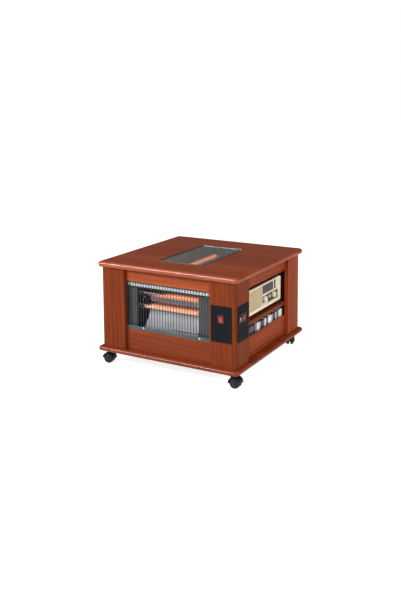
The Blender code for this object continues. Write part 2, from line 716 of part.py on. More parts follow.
# ---------------------------------------------------------------- casters
def hood_mesh():
    """Return the hood's half-round shell, about the axle, in caster coordinates.

    The stem axis is the origin, -X is the trailing side and the axle runs along Y.
    """
    first, last, steps = math.radians(-8), math.radians(178), 14
    angles = [first + (last - first) * i / steps for i in range(steps + 1)]
    outline = [(-TRAIL + HOOD_OUTER * math.cos(a), WHEEL_RADIUS + HOOD_OUTER * math.sin(a)) for a in angles]
    outline += [(-TRAIL + HOOD_INNER * math.cos(a), WHEEL_RADIUS + HOOD_INNER * math.sin(a))
                for a in reversed(angles)]
    return prism_mesh(outline, -HOOD_HALF, HOOD_HALF, "Y")


def web_mesh():
    """Return the plate between the wheels, from the axle up to the shell."""
    reach = HOOD_INNER + 0.001
    first, last, steps = math.radians(-6), math.radians(176), 12
    angles = [first + (last - first) * i / steps for i in range(steps + 1)]
    outline = [(-TRAIL + reach * math.cos(a), WHEEL_RADIUS + reach * math.sin(a)) for a in angles]
    boss = 0.0062
    for degrees in (200, 235, 270, 305, 340):
        a = math.radians(degrees)
        outline.append((-TRAIL + boss * math.cos(a), WHEEL_RADIUS + boss * math.sin(a)))
    return prism_mesh(outline, -0.0028, 0.0028, "Y")


def make_caster(name, x, y, yaw):
    """Make one twin-wheel caster: a hood with its stem and axle pin, and two wheels."""
    placed = Matrix.Translation((x, y, 0)) @ Matrix.Rotation(yaw, 4, "Z")

    bm = hood_mesh()
    bm.transform(placed)
    hood = add(name + "_hood", bm, black_plastic, origin=(x, y, 0), smooth_angle=math.radians(35))
    pin_reach = WHEEL_INNER + WHEEL_WIDTH - 0.0040
    parts = (
        web_mesh(),
        box_mesh((-0.010, -0.0028, 0.031), (0.006, 0.0028, 0.042)),
        rod_mesh(0.0085, (0, 0, 0.0402), (0, 0, CASTER_HEIGHT - 0.0006), 16),
        rod_mesh(STEM_RADIUS, (0, 0, CASTER_HEIGHT - 0.0020), (0, 0, STEM_TOP), 16),
        rod_mesh(AXLE_RADIUS, (-TRAIL, -pin_reach, WHEEL_RADIUS), (-TRAIL, pin_reach, WHEEL_RADIUS), 12),
    )
    for part in parts:
        part.transform(placed)
        join(hood, part)

    for side, suffix in ((-1, "_wheel_a"), (1, "_wheel_b")):
        center = placed @ Vector((-TRAIL, 0, WHEEL_RADIUS))
        axis = placed.to_3x3() @ Vector((0, side, 0))
        bm = turned_mesh(wheel_profile(), 20, center, axis)
        add(name + suffix, bm, black_plastic, origin=center, smooth_angle=math.radians(35))


def wheel_profile():
    """Return a wheel's section as (radius, distance from the caster's middle plane)."""
    bore = AXLE_RADIUS + 0.0003
    face = WHEEL_INNER + WHEEL_WIDTH
    return [(0, face), (0, face - 0.0035), (bore, face - 0.0035), (bore, WHEEL_INNER),
            (WHEEL_RADIUS - 0.0015, WHEEL_INNER), (WHEEL_RADIUS, WHEEL_INNER + 0.0015),
            (WHEEL_RADIUS, face - 0.0060), (WHEEL_RADIUS - 0.0020, face - 0.0025),
            (0.0120, face)][::-1]


def make_casters():
    """Make the four casters. The yaw is the direction from the axle to the stem."""
    places = (
        ("caster_front_left", -1, -1, 10),
        ("caster_front_right", 1, -1, 180),
        ("caster_back_right", 1, 1, -61),
        ("caster_back_left", -1, 1, 140),
    )
    for name, side_x, side_y, yaw in places:
        make_caster(name, side_x * CASTER_INSET, side_y * CASTER_INSET, math.radians(yaw))


# ---------------------------------------------------------------- radio
BEZEL = 0.006                     # border around the radio's front
RADIO_SPLIT = -0.012              # the grille ends and the dial side begins
DIAL_LOW = 0.280
DIAL_END = 0.140                  # the dial and the knob field end here, along Y
KNOB_Z = 0.258
VOLUME_Y = 0.017
TUNING_Y = 0.098


def make_radio():
    """Make the radio: a case on four feet, a speaker grille, a dial window and two knobs."""
    back = RADIO_FACE - RADIO_DEPTH
    case = box("radio_case", (back, RADIO_FRONT_Y, RADIO_LOW),
               (RADIO_FACE, RADIO_BACK_Y, RADIO_HIGH), cream_plastic)
    foot_low = SHELF_HIGH + GAP
    for y in (RADIO_FRONT_Y + 0.025, RADIO_BACK_Y - 0.025):
        for x in (back + 0.015, RADIO_FACE - 0.015):
            join(case, rod_mesh(0.007, (x, y, foot_low), (x, y, RADIO_LOW + 0.001), 12))
    lower_band = 0.015
    low, high = RADIO_LOW + lower_band, RADIO_HIGH - BEZEL
    pocket, front = RADIO_FACE - 0.006, RADIO_FACE + 0.01
    dial_start, bar = RADIO_SPLIT + 0.003, 0.0065
    cut(case, box_mesh((pocket, RADIO_FRONT_Y + BEZEL, low), (front, RADIO_SPLIT, high)))
    cut(case, box_mesh((pocket, dial_start, DIAL_LOW), (front, DIAL_END, high)))
    cut(case, box_mesh((pocket, dial_start, low), (front, DIAL_END, DIAL_LOW - bar)))

    face = RADIO_FACE - 0.002
    box("radio_speaker_grille", (pocket + GAP, RADIO_FRONT_Y + BEZEL + GAP, low + GAP),
        (face, RADIO_SPLIT - GAP, high - GAP), lambda name: material(name, (0.62, 0.52, 0.36), 0.8))
    box("radio_dial_window", (pocket + GAP, dial_start + GAP, DIAL_LOW + GAP),
        (face, DIAL_END - GAP, high - GAP), lambda name: material(name, (0.05, 0.04, 0.045), 0.1))

    for name, y in (("radio_volume_knob", VOLUME_Y), ("radio_tuning_knob", TUNING_Y)):
        profile = [(0, 0), (KNOB_RADIUS, 0), (KNOB_RADIUS, 0.009),
                   (KNOB_RADIUS - 0.0015, 0.0115), (0, 0.0115)]
        center = (pocket + GAP, y, KNOB_Z)
        add(name, turned_mesh(profile, 20, center, (1, 0, 0)), cream_plastic, origin=center,
            smooth_angle=math.radians(35))


# ---------------------------------------------------------------- build
def main():
    clear_scene()
    make_panels()
    make_posts()
    make_boards()
    make_niche()
    make_drawer()
    make_housing()
    make_grille()
    make_reflector()
    make_brackets()
    make_front_tubes()
    make_window()
    make_top_heater()
    make_controls()
    make_tip_switch()
    make_wiring_parts()
    make_casters()
    make_radio()


main()
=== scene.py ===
"""Looks for the coffee-table heater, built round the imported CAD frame. Metres, +Z up.

The heater opening faces -Y and the niche with the radio faces +X.
"""

import json
import math
import random

import bmesh
import bpy
from mathutils import Matrix, Vector


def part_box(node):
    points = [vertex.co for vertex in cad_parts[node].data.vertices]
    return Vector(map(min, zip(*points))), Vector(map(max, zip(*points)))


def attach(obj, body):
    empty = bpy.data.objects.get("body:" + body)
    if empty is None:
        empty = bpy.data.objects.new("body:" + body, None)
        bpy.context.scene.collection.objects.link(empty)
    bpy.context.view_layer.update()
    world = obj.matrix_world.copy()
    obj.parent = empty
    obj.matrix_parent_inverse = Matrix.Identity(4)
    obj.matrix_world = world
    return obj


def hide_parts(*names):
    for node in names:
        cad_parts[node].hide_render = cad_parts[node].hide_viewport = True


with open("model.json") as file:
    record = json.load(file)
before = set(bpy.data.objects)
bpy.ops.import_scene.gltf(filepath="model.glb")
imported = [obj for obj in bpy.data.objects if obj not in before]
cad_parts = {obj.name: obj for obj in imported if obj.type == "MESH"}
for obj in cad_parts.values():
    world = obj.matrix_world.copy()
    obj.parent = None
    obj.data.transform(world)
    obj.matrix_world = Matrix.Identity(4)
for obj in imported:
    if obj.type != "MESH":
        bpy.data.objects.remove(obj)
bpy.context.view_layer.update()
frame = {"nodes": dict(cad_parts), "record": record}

SLOT = {row["node"]: row["material_slot"] for row in frame["record"]["subparts"]}
BODIES = frame["record"]["behaviour"]["bodies"]
BODY = {node: body for body, nodes in BODIES.items() for node in nodes}
CASTERS = [name[:-len("_hood")] for name in SLOT if name.endswith("_hood")]


# ---------------------------------------------------------------- material tools
NOISE_LOW, NOISE_HIGH = 0.3, 0.7


def scaled(color, factor):
    """Return a colour made darker or brighter."""
    return tuple(factor * c for c in color)


def fill_ramp(elements, stops):
    """Give a colour ramp its (position, colour) stops."""
    while len(elements) < len(stops):
        elements.new(0.5)
    for element, (position, color) in zip(elements, stops):
        element.position = position
        element.color = (*color, 1.0)


class Shader:
    """One material's node tree, with short ways to add nodes to it."""

    def __init__(self, name, constants=None):
        self.material = bpy.data.materials.new(name)
        self.material.use_nodes = True
        self.tree = self.material.node_tree
        self.main = self.tree.nodes["Principled BSDF"]
        for socket, value in (constants or {}).items():
            self.main.inputs[socket].default_value = value

    def put(self, socket, value):
        if isinstance(value, bpy.types.NodeSocket):
            self.tree.links.new(value, socket)
        else:
            socket.default_value = value

    def add(self, kind, inputs=None, **settings):
        made = self.tree.nodes.new("ShaderNode" + kind)
        for key, value in settings.items():
            setattr(made, key, value)
        for socket, value in (inputs or {}).items():
            self.put(made.inputs[socket], value)
        return made

    def place(self, scale=(1, 1, 1), shift=(0, 0, 0), turn=(0, 0, 0)):
        """Return the object's own coordinates, moved and scaled."""
        coordinates = self.add("TexCoord").outputs["Object"]
        inputs = {"Vector": coordinates, "Location": shift, "Rotation": turn, "Scale": scale}
        return self.add("Mapping", inputs).outputs[0]

    def noise(self, vector, scale, detail=3.0, roughness=0.5, distortion=0.0):
        inputs = {"Vector": vector, "Scale": scale, "Detail": detail, "Roughness": roughness,
                  "Distortion": distortion}
        return self.add("TexNoise", inputs).outputs["Fac"]

    def math(self, operation, first, second=0.5, third=0.5):
        made = self.add("Math", {0: first, 1: second, 2: third}, operation=operation)
        return made.outputs[0]

    def span(self, value, low, high, out_low=0.0, out_high=1.0):
        inputs = {"Value": value, "From Min": low, "From Max": high,
                  "To Min": out_low, "To Max": out_high}
        return self.add("MapRange", inputs).outputs["Result"]

    def vary(self, noise, low, high):
        """Spread the usual range of a noise over two values."""
        return self.span(noise, NOISE_LOW, NOISE_HIGH, low, high)

    def height(self, noise, amount):
        """Return the height, moved a little up and down by a noise."""
        height = self.add("SeparateXYZ", {0: self.place()}).outputs["Z"]
        return self.math("ADD", height, self.span(noise, 0, 1, -amount, amount))

    def ramp(self, factor, stops):
        made = self.add("ValToRGB", {"Fac": factor})
        fill_ramp(made.color_ramp.elements, stops)
        return made.outputs["Color"]

    def blend(self, factor, first, second, mode="MIX"):
        first, second = (color if isinstance(color, bpy.types.NodeSocket) else (*color, 1.0)
                         for color in (first, second))
        inputs = {0: factor, 6: first, 7: second}
        return self.add("Mix", inputs, data_type="RGBA", blend_type=mode).outputs[2]

    def edge(self, strength, wear):
        """Return a factor that is high, with gaps, on the bevelled edges."""
        marked = self.add("Attribute", attribute_name="edge").outputs["Fac"]
        return self.math("MULTIPLY", marked, self.span(wear, 0.35, 0.65, 0.3 * strength, strength))

    def bump(self, height, strength, distance):
        inputs = {"Height": height, "Strength": strength, "Distance": distance}
        self.put(self.main.inputs["Normal"], self.add("Bump", inputs).outputs["Normal"])

    def finish(self, color=None, roughness=None):
        if color is not None:
            self.put(self.main.inputs["Base Color"], color)
        if roughness is not None:
            self.put(self.main.inputs["Roughness"], roughness)
        return self.material


# ---------------------------------------------------------------- materials
GRAIN_STRETCH = 0.045    # the noises' scale along the grain
WOOD_DARK = (0.135, 0.020, 0.0055)
WOOD_MIDDLE = (0.270, 0.047, 0.0120)
WOOD_LIGHT = (0.385, 0.082, 0.0200)


def wood(name, along, seed, contrast=1.0, painted_shading=1.0, coat=0.2, coat_ior=1.5):
    """Cherry-coloured wood-grain laminate under a satin lacquer, scaled lighter or darker as
    painted light and shade.
    """
    s = Shader(name, {"Coat Weight": coat, "Coat Roughness": 0.05, "Coat IOR": coat_ior,
                      "Specular IOR Level": 0.06})
    stretch = [1.0, 1.0, 1.0]
    stretch["XYZ".index(along)] = GRAIN_STRETCH
    grain = s.place(stretch, shift=(seed * 0.37, seed * 0.61, seed * 0.23))
    broad = s.noise(grain, 13.0, 2.0, 0.5, 0.4)
    streak = s.noise(grain, 95.0, 4.0, 0.6)
    fine = s.noise(grain, 620.0, 2.0, 0.6)
    rings = s.add("TexWave", {"Vector": grain, "Scale": 30.0, "Distortion": 7.0, "Detail": 3.0,
                              "Detail Scale": 0.35, "Detail Roughness": 0.6},
                  bands_direction="DIAGONAL").outputs["Fac"]
    mixed = s.math("MULTIPLY_ADD", broad, 0.55, s.math("MULTIPLY", streak, 0.45))
    mixed = s.math("ADD", mixed, s.span(rings, 0, 1, -0.07 * contrast, 0.07 * contrast))
    mixed = s.math("ADD", mixed, s.vary(fine, -0.035, 0.035))
    half = 0.22 / contrast
    # This scale paints light and shade: it makes this surface's colours lighter or darker.
    dark, middle, light = (scaled(shade, painted_shading) for shade in (WOOD_DARK, WOOD_MIDDLE, WOOD_LIGHT))
    color = s.ramp(s.span(mixed, 0.5 - half, 0.5 + half),
                   [(0.0, dark), (0.5, middle), (1.0, light)])
    color = s.blend(s.edge(0.35, streak), color, scaled(light, 1.5))
    s.bump(s.math("MULTIPLY_ADD", fine, 0.7, s.math("MULTIPLY", streak, 0.3)), 0.12, 0.0006)
    return s.finish(color, s.vary(streak, 0.30, 0.44))


def painted_steel(name, shade, roughness=0.42):
    """Dark grey heat-resistant paint, slightly uneven, with a fine orange peel."""
    s = Shader(name, {"Metallic": 0.55, "Specular IOR Level": 0.5})
    uneven = s.noise(s.place(), 9.0, 4.0, 0.6)
    peel = s.noise(s.place(), 900.0, 2.0, 0.5)
    color = s.ramp(uneven, [(NOISE_LOW, scaled((0.085, 0.098, 0.105), shade)),
                            (NOISE_HIGH, scaled((0.125, 0.140, 0.148), shade))])
    color = s.blend(s.edge(0.6, uneven), color, (0.30, 0.31, 0.32))
    s.bump(peel, 0.10, 0.0003)
    return s.finish(color, s.vary(uneven, roughness - 0.06, roughness + 0.08))


def bright_sheet(name, color, roughness, brush):
    """Polished or brushed metal; the brush scales of X, Y and Z set its fine lines."""
    s = Shader(name, {"Metallic": 1.0})
    lines = s.noise(s.place(brush), 1.0, 3.0, 0.6)
    cloud = s.noise(s.place(), 14.0, 3.0, 0.5)
    shade = s.blend(s.vary(cloud, 0.0, 0.35), color, scaled(color, 0.72))
    s.bump(lines, 0.06, 0.0002)
    return s.finish(shade, s.vary(lines, roughness * 0.7, roughness * 1.4))


def reflector_sheet(name):
    """Aluminium sheet: polished behind the tubes, satin below them, with painted shade along the
    top.
    """
    s = Shader(name, {"Metallic": 1.0})
    lines = s.noise(s.place((6, 500, 500)), 1.0, 3.0, 0.6)
    cloud = s.noise(s.place(), 14.0, 3.0, 0.5)
    height = s.height(cloud, 0.003)
    satin = s.span(height, 0.242, 0.226)
    shade = s.blend(satin, (0.26, 0.23, 0.24), (0.37, 0.38, 0.42))
    # Painted shade: the sheet is made near black above the upper tube.
    shade = s.blend(s.span(height, 0.302, 0.316), shade, (0.035, 0.030, 0.036))
    shade = s.blend(s.vary(cloud, 0.0, 0.3), shade, (0.30, 0.30, 0.33), "MULTIPLY")
    s.put(s.main.inputs["Metallic"], s.span(satin, 0, 1, 1.0, 0.20))
    s.bump(lines, 0.05, 0.0002)
    rough = s.math("ADD", s.span(satin, 0, 1, 0.12, 0.58), s.vary(lines, -0.03, 0.05))
    return s.finish(shade, rough)


def strip_sheet_painted_shade(name, split):
    """A bright strip, painted near black below the height of its split as painted shade."""
    s = Shader(name)
    lines = s.noise(s.place((8, 700, 700)), 1.0, 3.0, 0.6)
    bright = s.span(s.height(lines, 0.0004), split - 0.0006, split + 0.0006)
    s.put(s.main.inputs["Metallic"], s.span(bright, 0, 1, 0.0, 0.7))
    s.bump(lines, 0.05, 0.0002)
    # Painted shade: near black below the split, for the dark band under the strip.
    shade = s.blend(bright, (0.008, 0.008, 0.010), (0.70, 0.74, 0.79))
    return s.finish(shade, s.vary(lines, 0.25, 0.42))


def moulded(name, color, roughness, grain=700.0, depth=0.08, wear=0.25, coat=0.0, gloss=0.5):
    """Moulded plastic with a fine grain, small colour variation and brighter edges."""
    s = Shader(name, {"Coat Weight": coat, "Coat Roughness": 0.08, "Specular IOR Level": gloss})
    cloud = s.noise(s.place(), 22.0, 4.0, 0.55)
    fine = s.noise(s.place(), grain, 2.0, 0.5)
    shade = s.blend(s.vary(cloud, 0.0, 0.5), color, scaled(color, 0.78))
    lifted = tuple(min(1.0, 1.6 * c + 0.03) for c in color)
    shade = s.blend(s.edge(wear, cloud), shade, lifted)
    s.bump(fine, depth, 0.0003)
    return s.finish(shade, s.vary(cloud, roughness - 0.05, roughness + 0.07))


def ceramic(name):
    """Unglazed steatite: warm white, speckled and matt."""
    s = Shader(name)
    speck = s.noise(s.place(), 700.0, 2.0, 0.7)
    cloud = s.noise(s.place(), 60.0, 3.0, 0.5)
    color = s.ramp(cloud, [(NOISE_LOW, (0.62, 0.58, 0.50)), (NOISE_HIGH, (0.80, 0.77, 0.70))])
    color = s.blend(s.span(speck, 0.62, 0.72, 0.0, 0.5), color, (0.35, 0.31, 0.26))
    s.bump(speck, 0.2, 0.0003)
    return s.finish(color, s.vary(speck, 0.55, 0.75))


def glow(name, axis, middle_z, hot, warm, strength, lit, fade=0.02, slow=0.0):
    """A quartz tube with a glowing coil, hotter along its underside.

    It's lit between the two ends of lit. The glow rises over the length of fade, and starts
    later along the tube's top by the length of slow.
    """
    coil = 0.0042
    s = Shader(name, {"Coat Weight": 0.5, "Coat Roughness": 0.05})
    place = s.add("SeparateXYZ", {0: s.place()})
    along = place.outputs["XYZ".index(axis)]
    turns = s.math("SINE", s.math("MULTIPLY", along, 2 * math.pi / coil))
    last = s.span(along, lit[1] - 0.010, lit[1], 1.0, 0.0)
    under = s.span(place.outputs["Z"], middle_z + 0.0040, middle_z + 0.0002)
    start = s.span(under, 0.0, 1.0, lit[0] + slow, lit[0])
    first = s.span(s.math("SUBTRACT", along, start), 0.0, fade)
    on = s.math("MULTIPLY", first, last)
    patchy = s.noise(s.place(), 60.0, 2.0, 0.5)
    color = s.blend(under, warm, hot)
    color = s.blend(s.span(turns, -1, 1, 0.0, 0.30), color, scaled(warm, 0.55))
    color = s.blend(s.span(patchy, 0.35, 0.65, 0.0, 0.25), color, scaled(warm, 0.7))
    s.put(s.main.inputs["Emission Color"], color)
    s.put(s.main.inputs["Emission Strength"], s.math("MULTIPLY", on, strength))
    base = s.blend(on, (0.055, 0.020, 0.018), (0.12, 0.04, 0.02))
    return s.finish(base, s.vary(patchy, 0.2, 0.3))


def window_glass(name):
    """Tempered smoked glass with faint smears in its gloss."""
    s = Shader(name, {"Base Color": (0.70, 0.68, 0.63, 1.0), "Transmission Weight": 0.86,
                      "IOR": 1.46})
    smear = s.noise(s.place((6, 14, 6)), 1.6, 3.0, 0.5)
    return s.finish(roughness=s.span(smear, 0.35, 0.7, 0.015, 0.07))


def cloth(name, color, pitch):
    """Woven speaker cloth: two crossing slanted threads, in colour and in bump."""
    s = Shader(name, {"Sheen Weight": 0.3, "Sheen Roughness": 0.5})
    place = s.add("SeparateXYZ", {0: s.place()})
    rising = s.math("ADD", place.outputs["Y"], place.outputs["Z"])
    falling = s.math("SUBTRACT", place.outputs["Y"], place.outputs["Z"])
    across = s.math("SINE", s.math("MULTIPLY", rising, 2 * math.pi / pitch))
    up = s.math("SINE", s.math("MULTIPLY", falling, 2 * math.pi / pitch))
    weave = s.math("MULTIPLY", across, up)
    cloud = s.noise(s.place(), 40.0, 3.0, 0.5)
    shade = s.blend(s.span(weave, 0.0, 0.5), color, (0.22, 0.12, 0.045))
    shade = s.blend(s.vary(cloud, 0.0, 0.25), shade, scaled(color, 0.8))
    s.bump(weave, 0.4, 0.0004)
    return s.finish(shade, 0.85)


# ---------------------------------------------------------------- mesh tools
def new_object(name, bm):
    """Turn a bmesh into an object of the scene."""
    mesh = bpy.data.meshes.new(name)
    bm.to_mesh(mesh)
    bm.free()
    obj = bpy.data.objects.new(name, mesh)
    bpy.context.scene.collection.objects.link(obj)
    return obj


def set_shading(obj, angle, weigh=True):
    """Shade smooth up to an angle in degrees, with normals weighed by the faces' sizes."""
    obj.data.shade_smooth()
    obj.data.set_sharp_from_angle(angle=math.radians(angle))
    if weigh:
        obj.modifiers.new("even_normals", "WEIGHTED_NORMAL").keep_sharp = True


def show(name, bm, material, node, replaces=(), smooth=38, weigh=True):
    """Turn a bmesh in world coordinates into a piece that rides on its node's body."""
    bmesh.ops.recalc_face_normals(bm, faces=bm.faces)
    obj = new_object(name, bm)
    obj.data.materials.append(material)
    set_shading(obj, smooth, weigh)
    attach(obj, BODY[node])
    if replaces:
        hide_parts(*replaces)
    return obj


def soften(bm, width, segments=2, angle=28):
    """Bevel the sharp edges and mark the new faces for the materials' edge wear."""
    layer = bm.faces.layers.float.get("edge") or bm.faces.layers.float.new("edge")
    sharp = [e for e in bm.edges
             if len(e.link_faces) == 2 and e.calc_face_angle(0) > math.radians(angle)]
    made = bmesh.ops.bevel(bm, geom=sharp, offset=width, segments=segments, profile=0.5,
                           affect="EDGES", clamp_overlap=True)
    for face in made["faces"]:
        face[layer] = 1.0
    return bm


def cad_mesh(node):
    """Return the CAD node's shape with its doubled vertices and flat seams removed."""
    bm = bmesh.new()
    bm.from_mesh(frame["nodes"][node].data)
    bmesh.ops.remove_doubles(bm, verts=bm.verts, dist=1e-5)
    flat = math.radians(0.5)
    bmesh.ops.dissolve_limit(bm, angle_limit=flat, verts=bm.verts, edges=bm.edges)
    return bm


def refined(node, material, width, segments=2):
    """Show a CAD node with softened edges."""
    bm = soften(cad_mesh(node), width, segments)
    return show(node + "_shape", bm, material, node, replaces=[node])


def box_mesh(low, high):
    bm = bmesh.new()
    size, middle = Vector(high) - Vector(low), (Vector(high) + Vector(low)) / 2
    placed = Matrix.Translation(middle) @ Matrix.Diagonal((*size, 1.0))
    bmesh.ops.create_cube(bm, size=1.0, matrix=placed)
    return bm


def merge(target, *others):
    """Add other bmeshes to the first one."""
    for other in others:
        mesh = bpy.data.meshes.new("part")
        other.to_mesh(mesh)
        other.free()
        target.from_mesh(mesh)
        bpy.data.meshes.remove(mesh)
    return target


def facing(center, outward, rest=(0, 0, 1)):
    """Return a matrix that turns the rest axis outward and moves the origin to a centre."""
    turn = Vector(rest).rotation_difference(Vector(outward)).to_matrix().to_4x4()
    return Matrix.Translation(center) @ turn


def turned(profile, segments, center, axis):
    """Turn a (radius, height) profile about an axis; a radius of 0 becomes a pole."""
    placed = facing(center, axis)
    bm = bmesh.new()
    rings = []
    for radius, height in profile:
        if radius == 0:
            rings.append([bm.verts.new(placed @ Vector((0, 0, height)))] * segments)
            continue
        ring = []
        for i in range(segments):
            a = 2 * math.pi * i / segments
            point = Vector((radius * math.cos(a), radius * math.sin(a), height))
            ring.append(bm.verts.new(placed @ point))
        rings.append(ring)
    spans = len(rings) if profile[0][0] else len(rings) - 1
    for k in range(spans):
        ring, other = rings[k], rings[(k + 1) % len(rings)]
        for i in range(segments):
            j = (i + 1) % segments
            corners = list(dict.fromkeys([ring[i], ring[j], other[j], other[i]]))
            if len(corners) > 2:
                bm.faces.new(corners)
    return bm


def swept(points, radius, sides):
    """Return a round wire through the points."""
    points = [Vector(p) for p in points]
    bm = bmesh.new()
    rings = []
    for i, point in enumerate(points):
        before, after = points[max(i - 1, 0)], points[min(i + 1, len(points) - 1)]
        direction = (after - before).normalized()
        side = side - direction * side.dot(direction) if rings else direction.orthogonal()
        side = side.normalized()
        other = direction.cross(side)
        ring = []
        for k in range(sides):
            a = 2 * math.pi * k / sides
            ring.append(bm.verts.new(point + radius * (math.cos(a) * side + math.sin(a) * other)))
        rings.append(ring)
    for first, second in zip(rings, rings[1:]):
        for k in range(sides):
            j = (k + 1) % sides
            bm.faces.new((first[k], first[j], second[j], second[k]))
    bm.faces.new(rings[0][::-1])
    bm.faces.new(rings[-1])
    return bm


def rounded_rectangle(half_x, half_y, radius, steps, center=(0, 0)):
    """Return the outline of a rectangle with round corners."""
    points = []
    for k, (sx, sy) in enumerate(((1, 1), (-1, 1), (-1, -1), (1, -1))):
        for i in range(steps + 1):
            a = math.pi / 2 * (k + i / steps)
            points.append((center[0] + sx * (half_x - radius) + radius * math.cos(a),
                           center[1] + sy * (half_y - radius) + radius * math.sin(a)))
    return points


def loft(rings):
    """Skin closed rings of equal length, and cap the two ends."""
    bm = bmesh.new()
    made = [[bm.verts.new(p) for p in ring] for ring in rings]
    count = len(made[0])
    for first, second in zip(made, made[1:]):
        for i in range(count):
            j = (i + 1) % count
            bm.faces.new((first[i], first[j], second[j], second[i]))
    bm.faces.new(made[0][::-1])
    bm.faces.new(made[-1])
    return bm


def prism(outline, start, end, axis):
    """Extrude an outline: (Y, Z) along X or (X, Z) along Y."""
    if axis == "X":
        return loft([[(c, a, b) for a, b in outline] for c in (start, end)])
    return loft([[(a, c, b) for a, b in outline] for c in (start, end)])


def carve(obj, bm):
    """Cut a bmesh out of an object for good; the cutter is removed again."""
    bmesh.ops.recalc_face_normals(bm, faces=bm.faces)
    cutter = new_object("cutter", bm)
    modifier = obj.modifiers.new("cut", "BOOLEAN")
    modifier.solver = "EXACT"
    modifier.object = cutter
    apply_modifiers(obj)
    bpy.data.objects.remove(cutter)


def apply_modifiers(obj):
    graph = bpy.context.evaluated_depsgraph_get()
    mesh = bpy.data.meshes.new_from_object(obj.evaluated_get(graph))
    obj.modifiers.clear()
    obj.data = mesh


def arc(center, radius, start, end, steps):
    """Return points on a circle; the angles are in degrees."""
    points = []
    for i in range(steps + 1):
        a = math.radians(start + (end - start) * i / steps)
        points.append((center[0] + radius * math.cos(a), center[1] + radius * math.sin(a)))
    return points


def ring_slab(outer, inner, low, high, chamfer, place):
    """Return a flat ring between two outlines of equal length, with chamfered upper edges."""
    def shifted(outline, amount):
        middle_a, middle_b = (sum(values) / len(outline) for values in zip(*outline))
        return [(a + amount * math.copysign(1, a - middle_a),
                 b + amount * math.copysign(1, b - middle_b)) for a, b in outline]

    rings = [(outer, low), (outer, high - chamfer), (shifted(outer, -chamfer), high),
             (shifted(inner, chamfer), high), (inner, high - chamfer), (inner, low)]
    bm = bmesh.new()
    made = [[bm.verts.new(place(a, b, c)) for a, b in outline] for outline, c in rings]
    count = len(outer)
    for k in range(len(made)):
        first, second = made[k], made[(k + 1) % len(made)]
        for i in range(count):
            j = (i + 1) % count
            bm.faces.new((first[i], first[j], second[j], second[i]))
    return bm


# ---------------------------------------------------------------- the CAD's own measures
TOP_HALF, TOP_LOW, TOP_HIGH = 0.305, 0.389, 0.411
BASE_HALF, BASE_LOW, BASE_HIGH = 0.3075, 0.055, 0.073
WINDOW_HALF, WINDOW_FRONT, WINDOW_BACK = 0.100, -0.180, 0.170
PLAN_RADIUS, HOLE_RADIUS = 0.016, 0.0056
STEM_REACH, STEM_HOLE_DEPTH = 0.265, 0.0145
TIP_X, TIP_Y = 0.1245, -0.172
POST_FACE = 0.292
SWITCH_Z = 0.255
PLATE_LOW, PLATE_HIGH = 0.169, 0.302
HEATER_X = 0.0085
TUBE_Y, UPPER_TUBE_Z, LOWER_TUBE_Z = -0.250, 0.297, 0.2485
TUBE_HALF, TUBE_RADIUS, TOP_TUBE_Z = 0.1625, 0.0088, 0.385
WIRE_Y, WIRE_LOW, WIRE_HIGH, WIRE_COUNT, WIRE_PITCH = -0.2735, 0.1566, 0.3411, 31, 0.0122
WIRE_RADIUS, LEVEL_WIRE_HALF = 0.00128, 0.1840
REFLECTOR_LOW, REFLECTOR_BEND, REFLECTOR_HIGH = 0.1566, 0.1772, 0.3298
REFLECTOR_BACK, REFLECTOR_CURVE, REFLECTOR_FLAT = -0.230, 10.6, 0.235
RADIO_LOW = 0.2225


def reflector_y(z):
    """Return the front's Y at a height; it's upright over REFLECTOR_FLAT and curved below."""
    return REFLECTOR_BACK - REFLECTOR_CURVE * min(0.0, z - REFLECTOR_FLAT) ** 2


# ---------------------------------------------------------------- finishes
# All the wood is one laminate; each finish's scale paints light or shade onto its surfaces.
WOOD_TOP = wood("top_laminate", "X", seed=1.0, contrast=0.7, painted_shading=1.10, coat=0.75, coat_ior=1.6)
WOOD_BASE = wood("base_laminate", "X", seed=2.0, contrast=0.8, painted_shading=0.80, coat=0.5, coat_ior=1.5)
# Painted light and shade on one post laminate: a darker copy for the near posts, a lighter one for
# the far back post.
WOOD_POSTS_PAINTED_SHADE = wood("post_laminate", "Z", seed=3.0, contrast=0.75, painted_shading=0.62, coat=0.04)
WOOD_FAR_POST_PAINTED_LIGHT = wood("far_post_laminate", "Z", seed=9.0, contrast=0.75, painted_shading=1.18, coat=0.02)
WOOD_FRONT = wood("front_board_laminate", "X", seed=4.0, contrast=0.75, painted_shading=1.00)
# Painted shade: a darker copy of the front board laminate for the low board.
WOOD_LOW_PAINTED_SHADE = wood("low_board_laminate", "X", seed=4.6, contrast=0.75, painted_shading=0.76)
WOOD_SIDE = wood("side_board_laminate", "Y", seed=5.0, contrast=0.75, painted_shading=1.14, coat=0.08)
# Painted shade: the niche walls are a very dark copy of the laminate, for the shade inside the
# niche.
WOOD_NICHE_PAINTED_SHADE = wood("inner_laminate", "Y", seed=6.0, contrast=0.8, painted_shading=0.22)
# Painted shade: the shelf is a darker copy of the laminate, for the shadow under the radio.
WOOD_SHELF_PAINTED_SHADE = wood("shelf_laminate", "Y", seed=7.0, contrast=0.8, painted_shading=0.60)
WOOD_BACK = wood("back_laminate", "X", seed=8.0, contrast=0.8, painted_shading=0.8)
HOUSING = painted_steel("housing_paint", 0.85)
TRAY_PAINT = painted_steel("tray_paint", 0.55, 0.5)
WINDOW_TRAY = painted_steel("window_tray_paint", 1.2, 0.5)
GUARD_WIRE = painted_steel("guard_wire_satin", 0.55, 0.34)
STRIP_METAL = strip_sheet_painted_shade("bright_strip_metal", 0.3245)
REFLECTOR_METAL = reflector_sheet("reflector_metal")
CHROME = bright_sheet("screw_chrome", (0.90, 0.90, 0.92), 0.14, (300, 300, 300))
RIM_METAL = bright_sheet("window_rim_metal", (0.20, 0.22, 0.22), 0.30, (60, 60, 700))
GLASS = window_glass("smoked_glass")
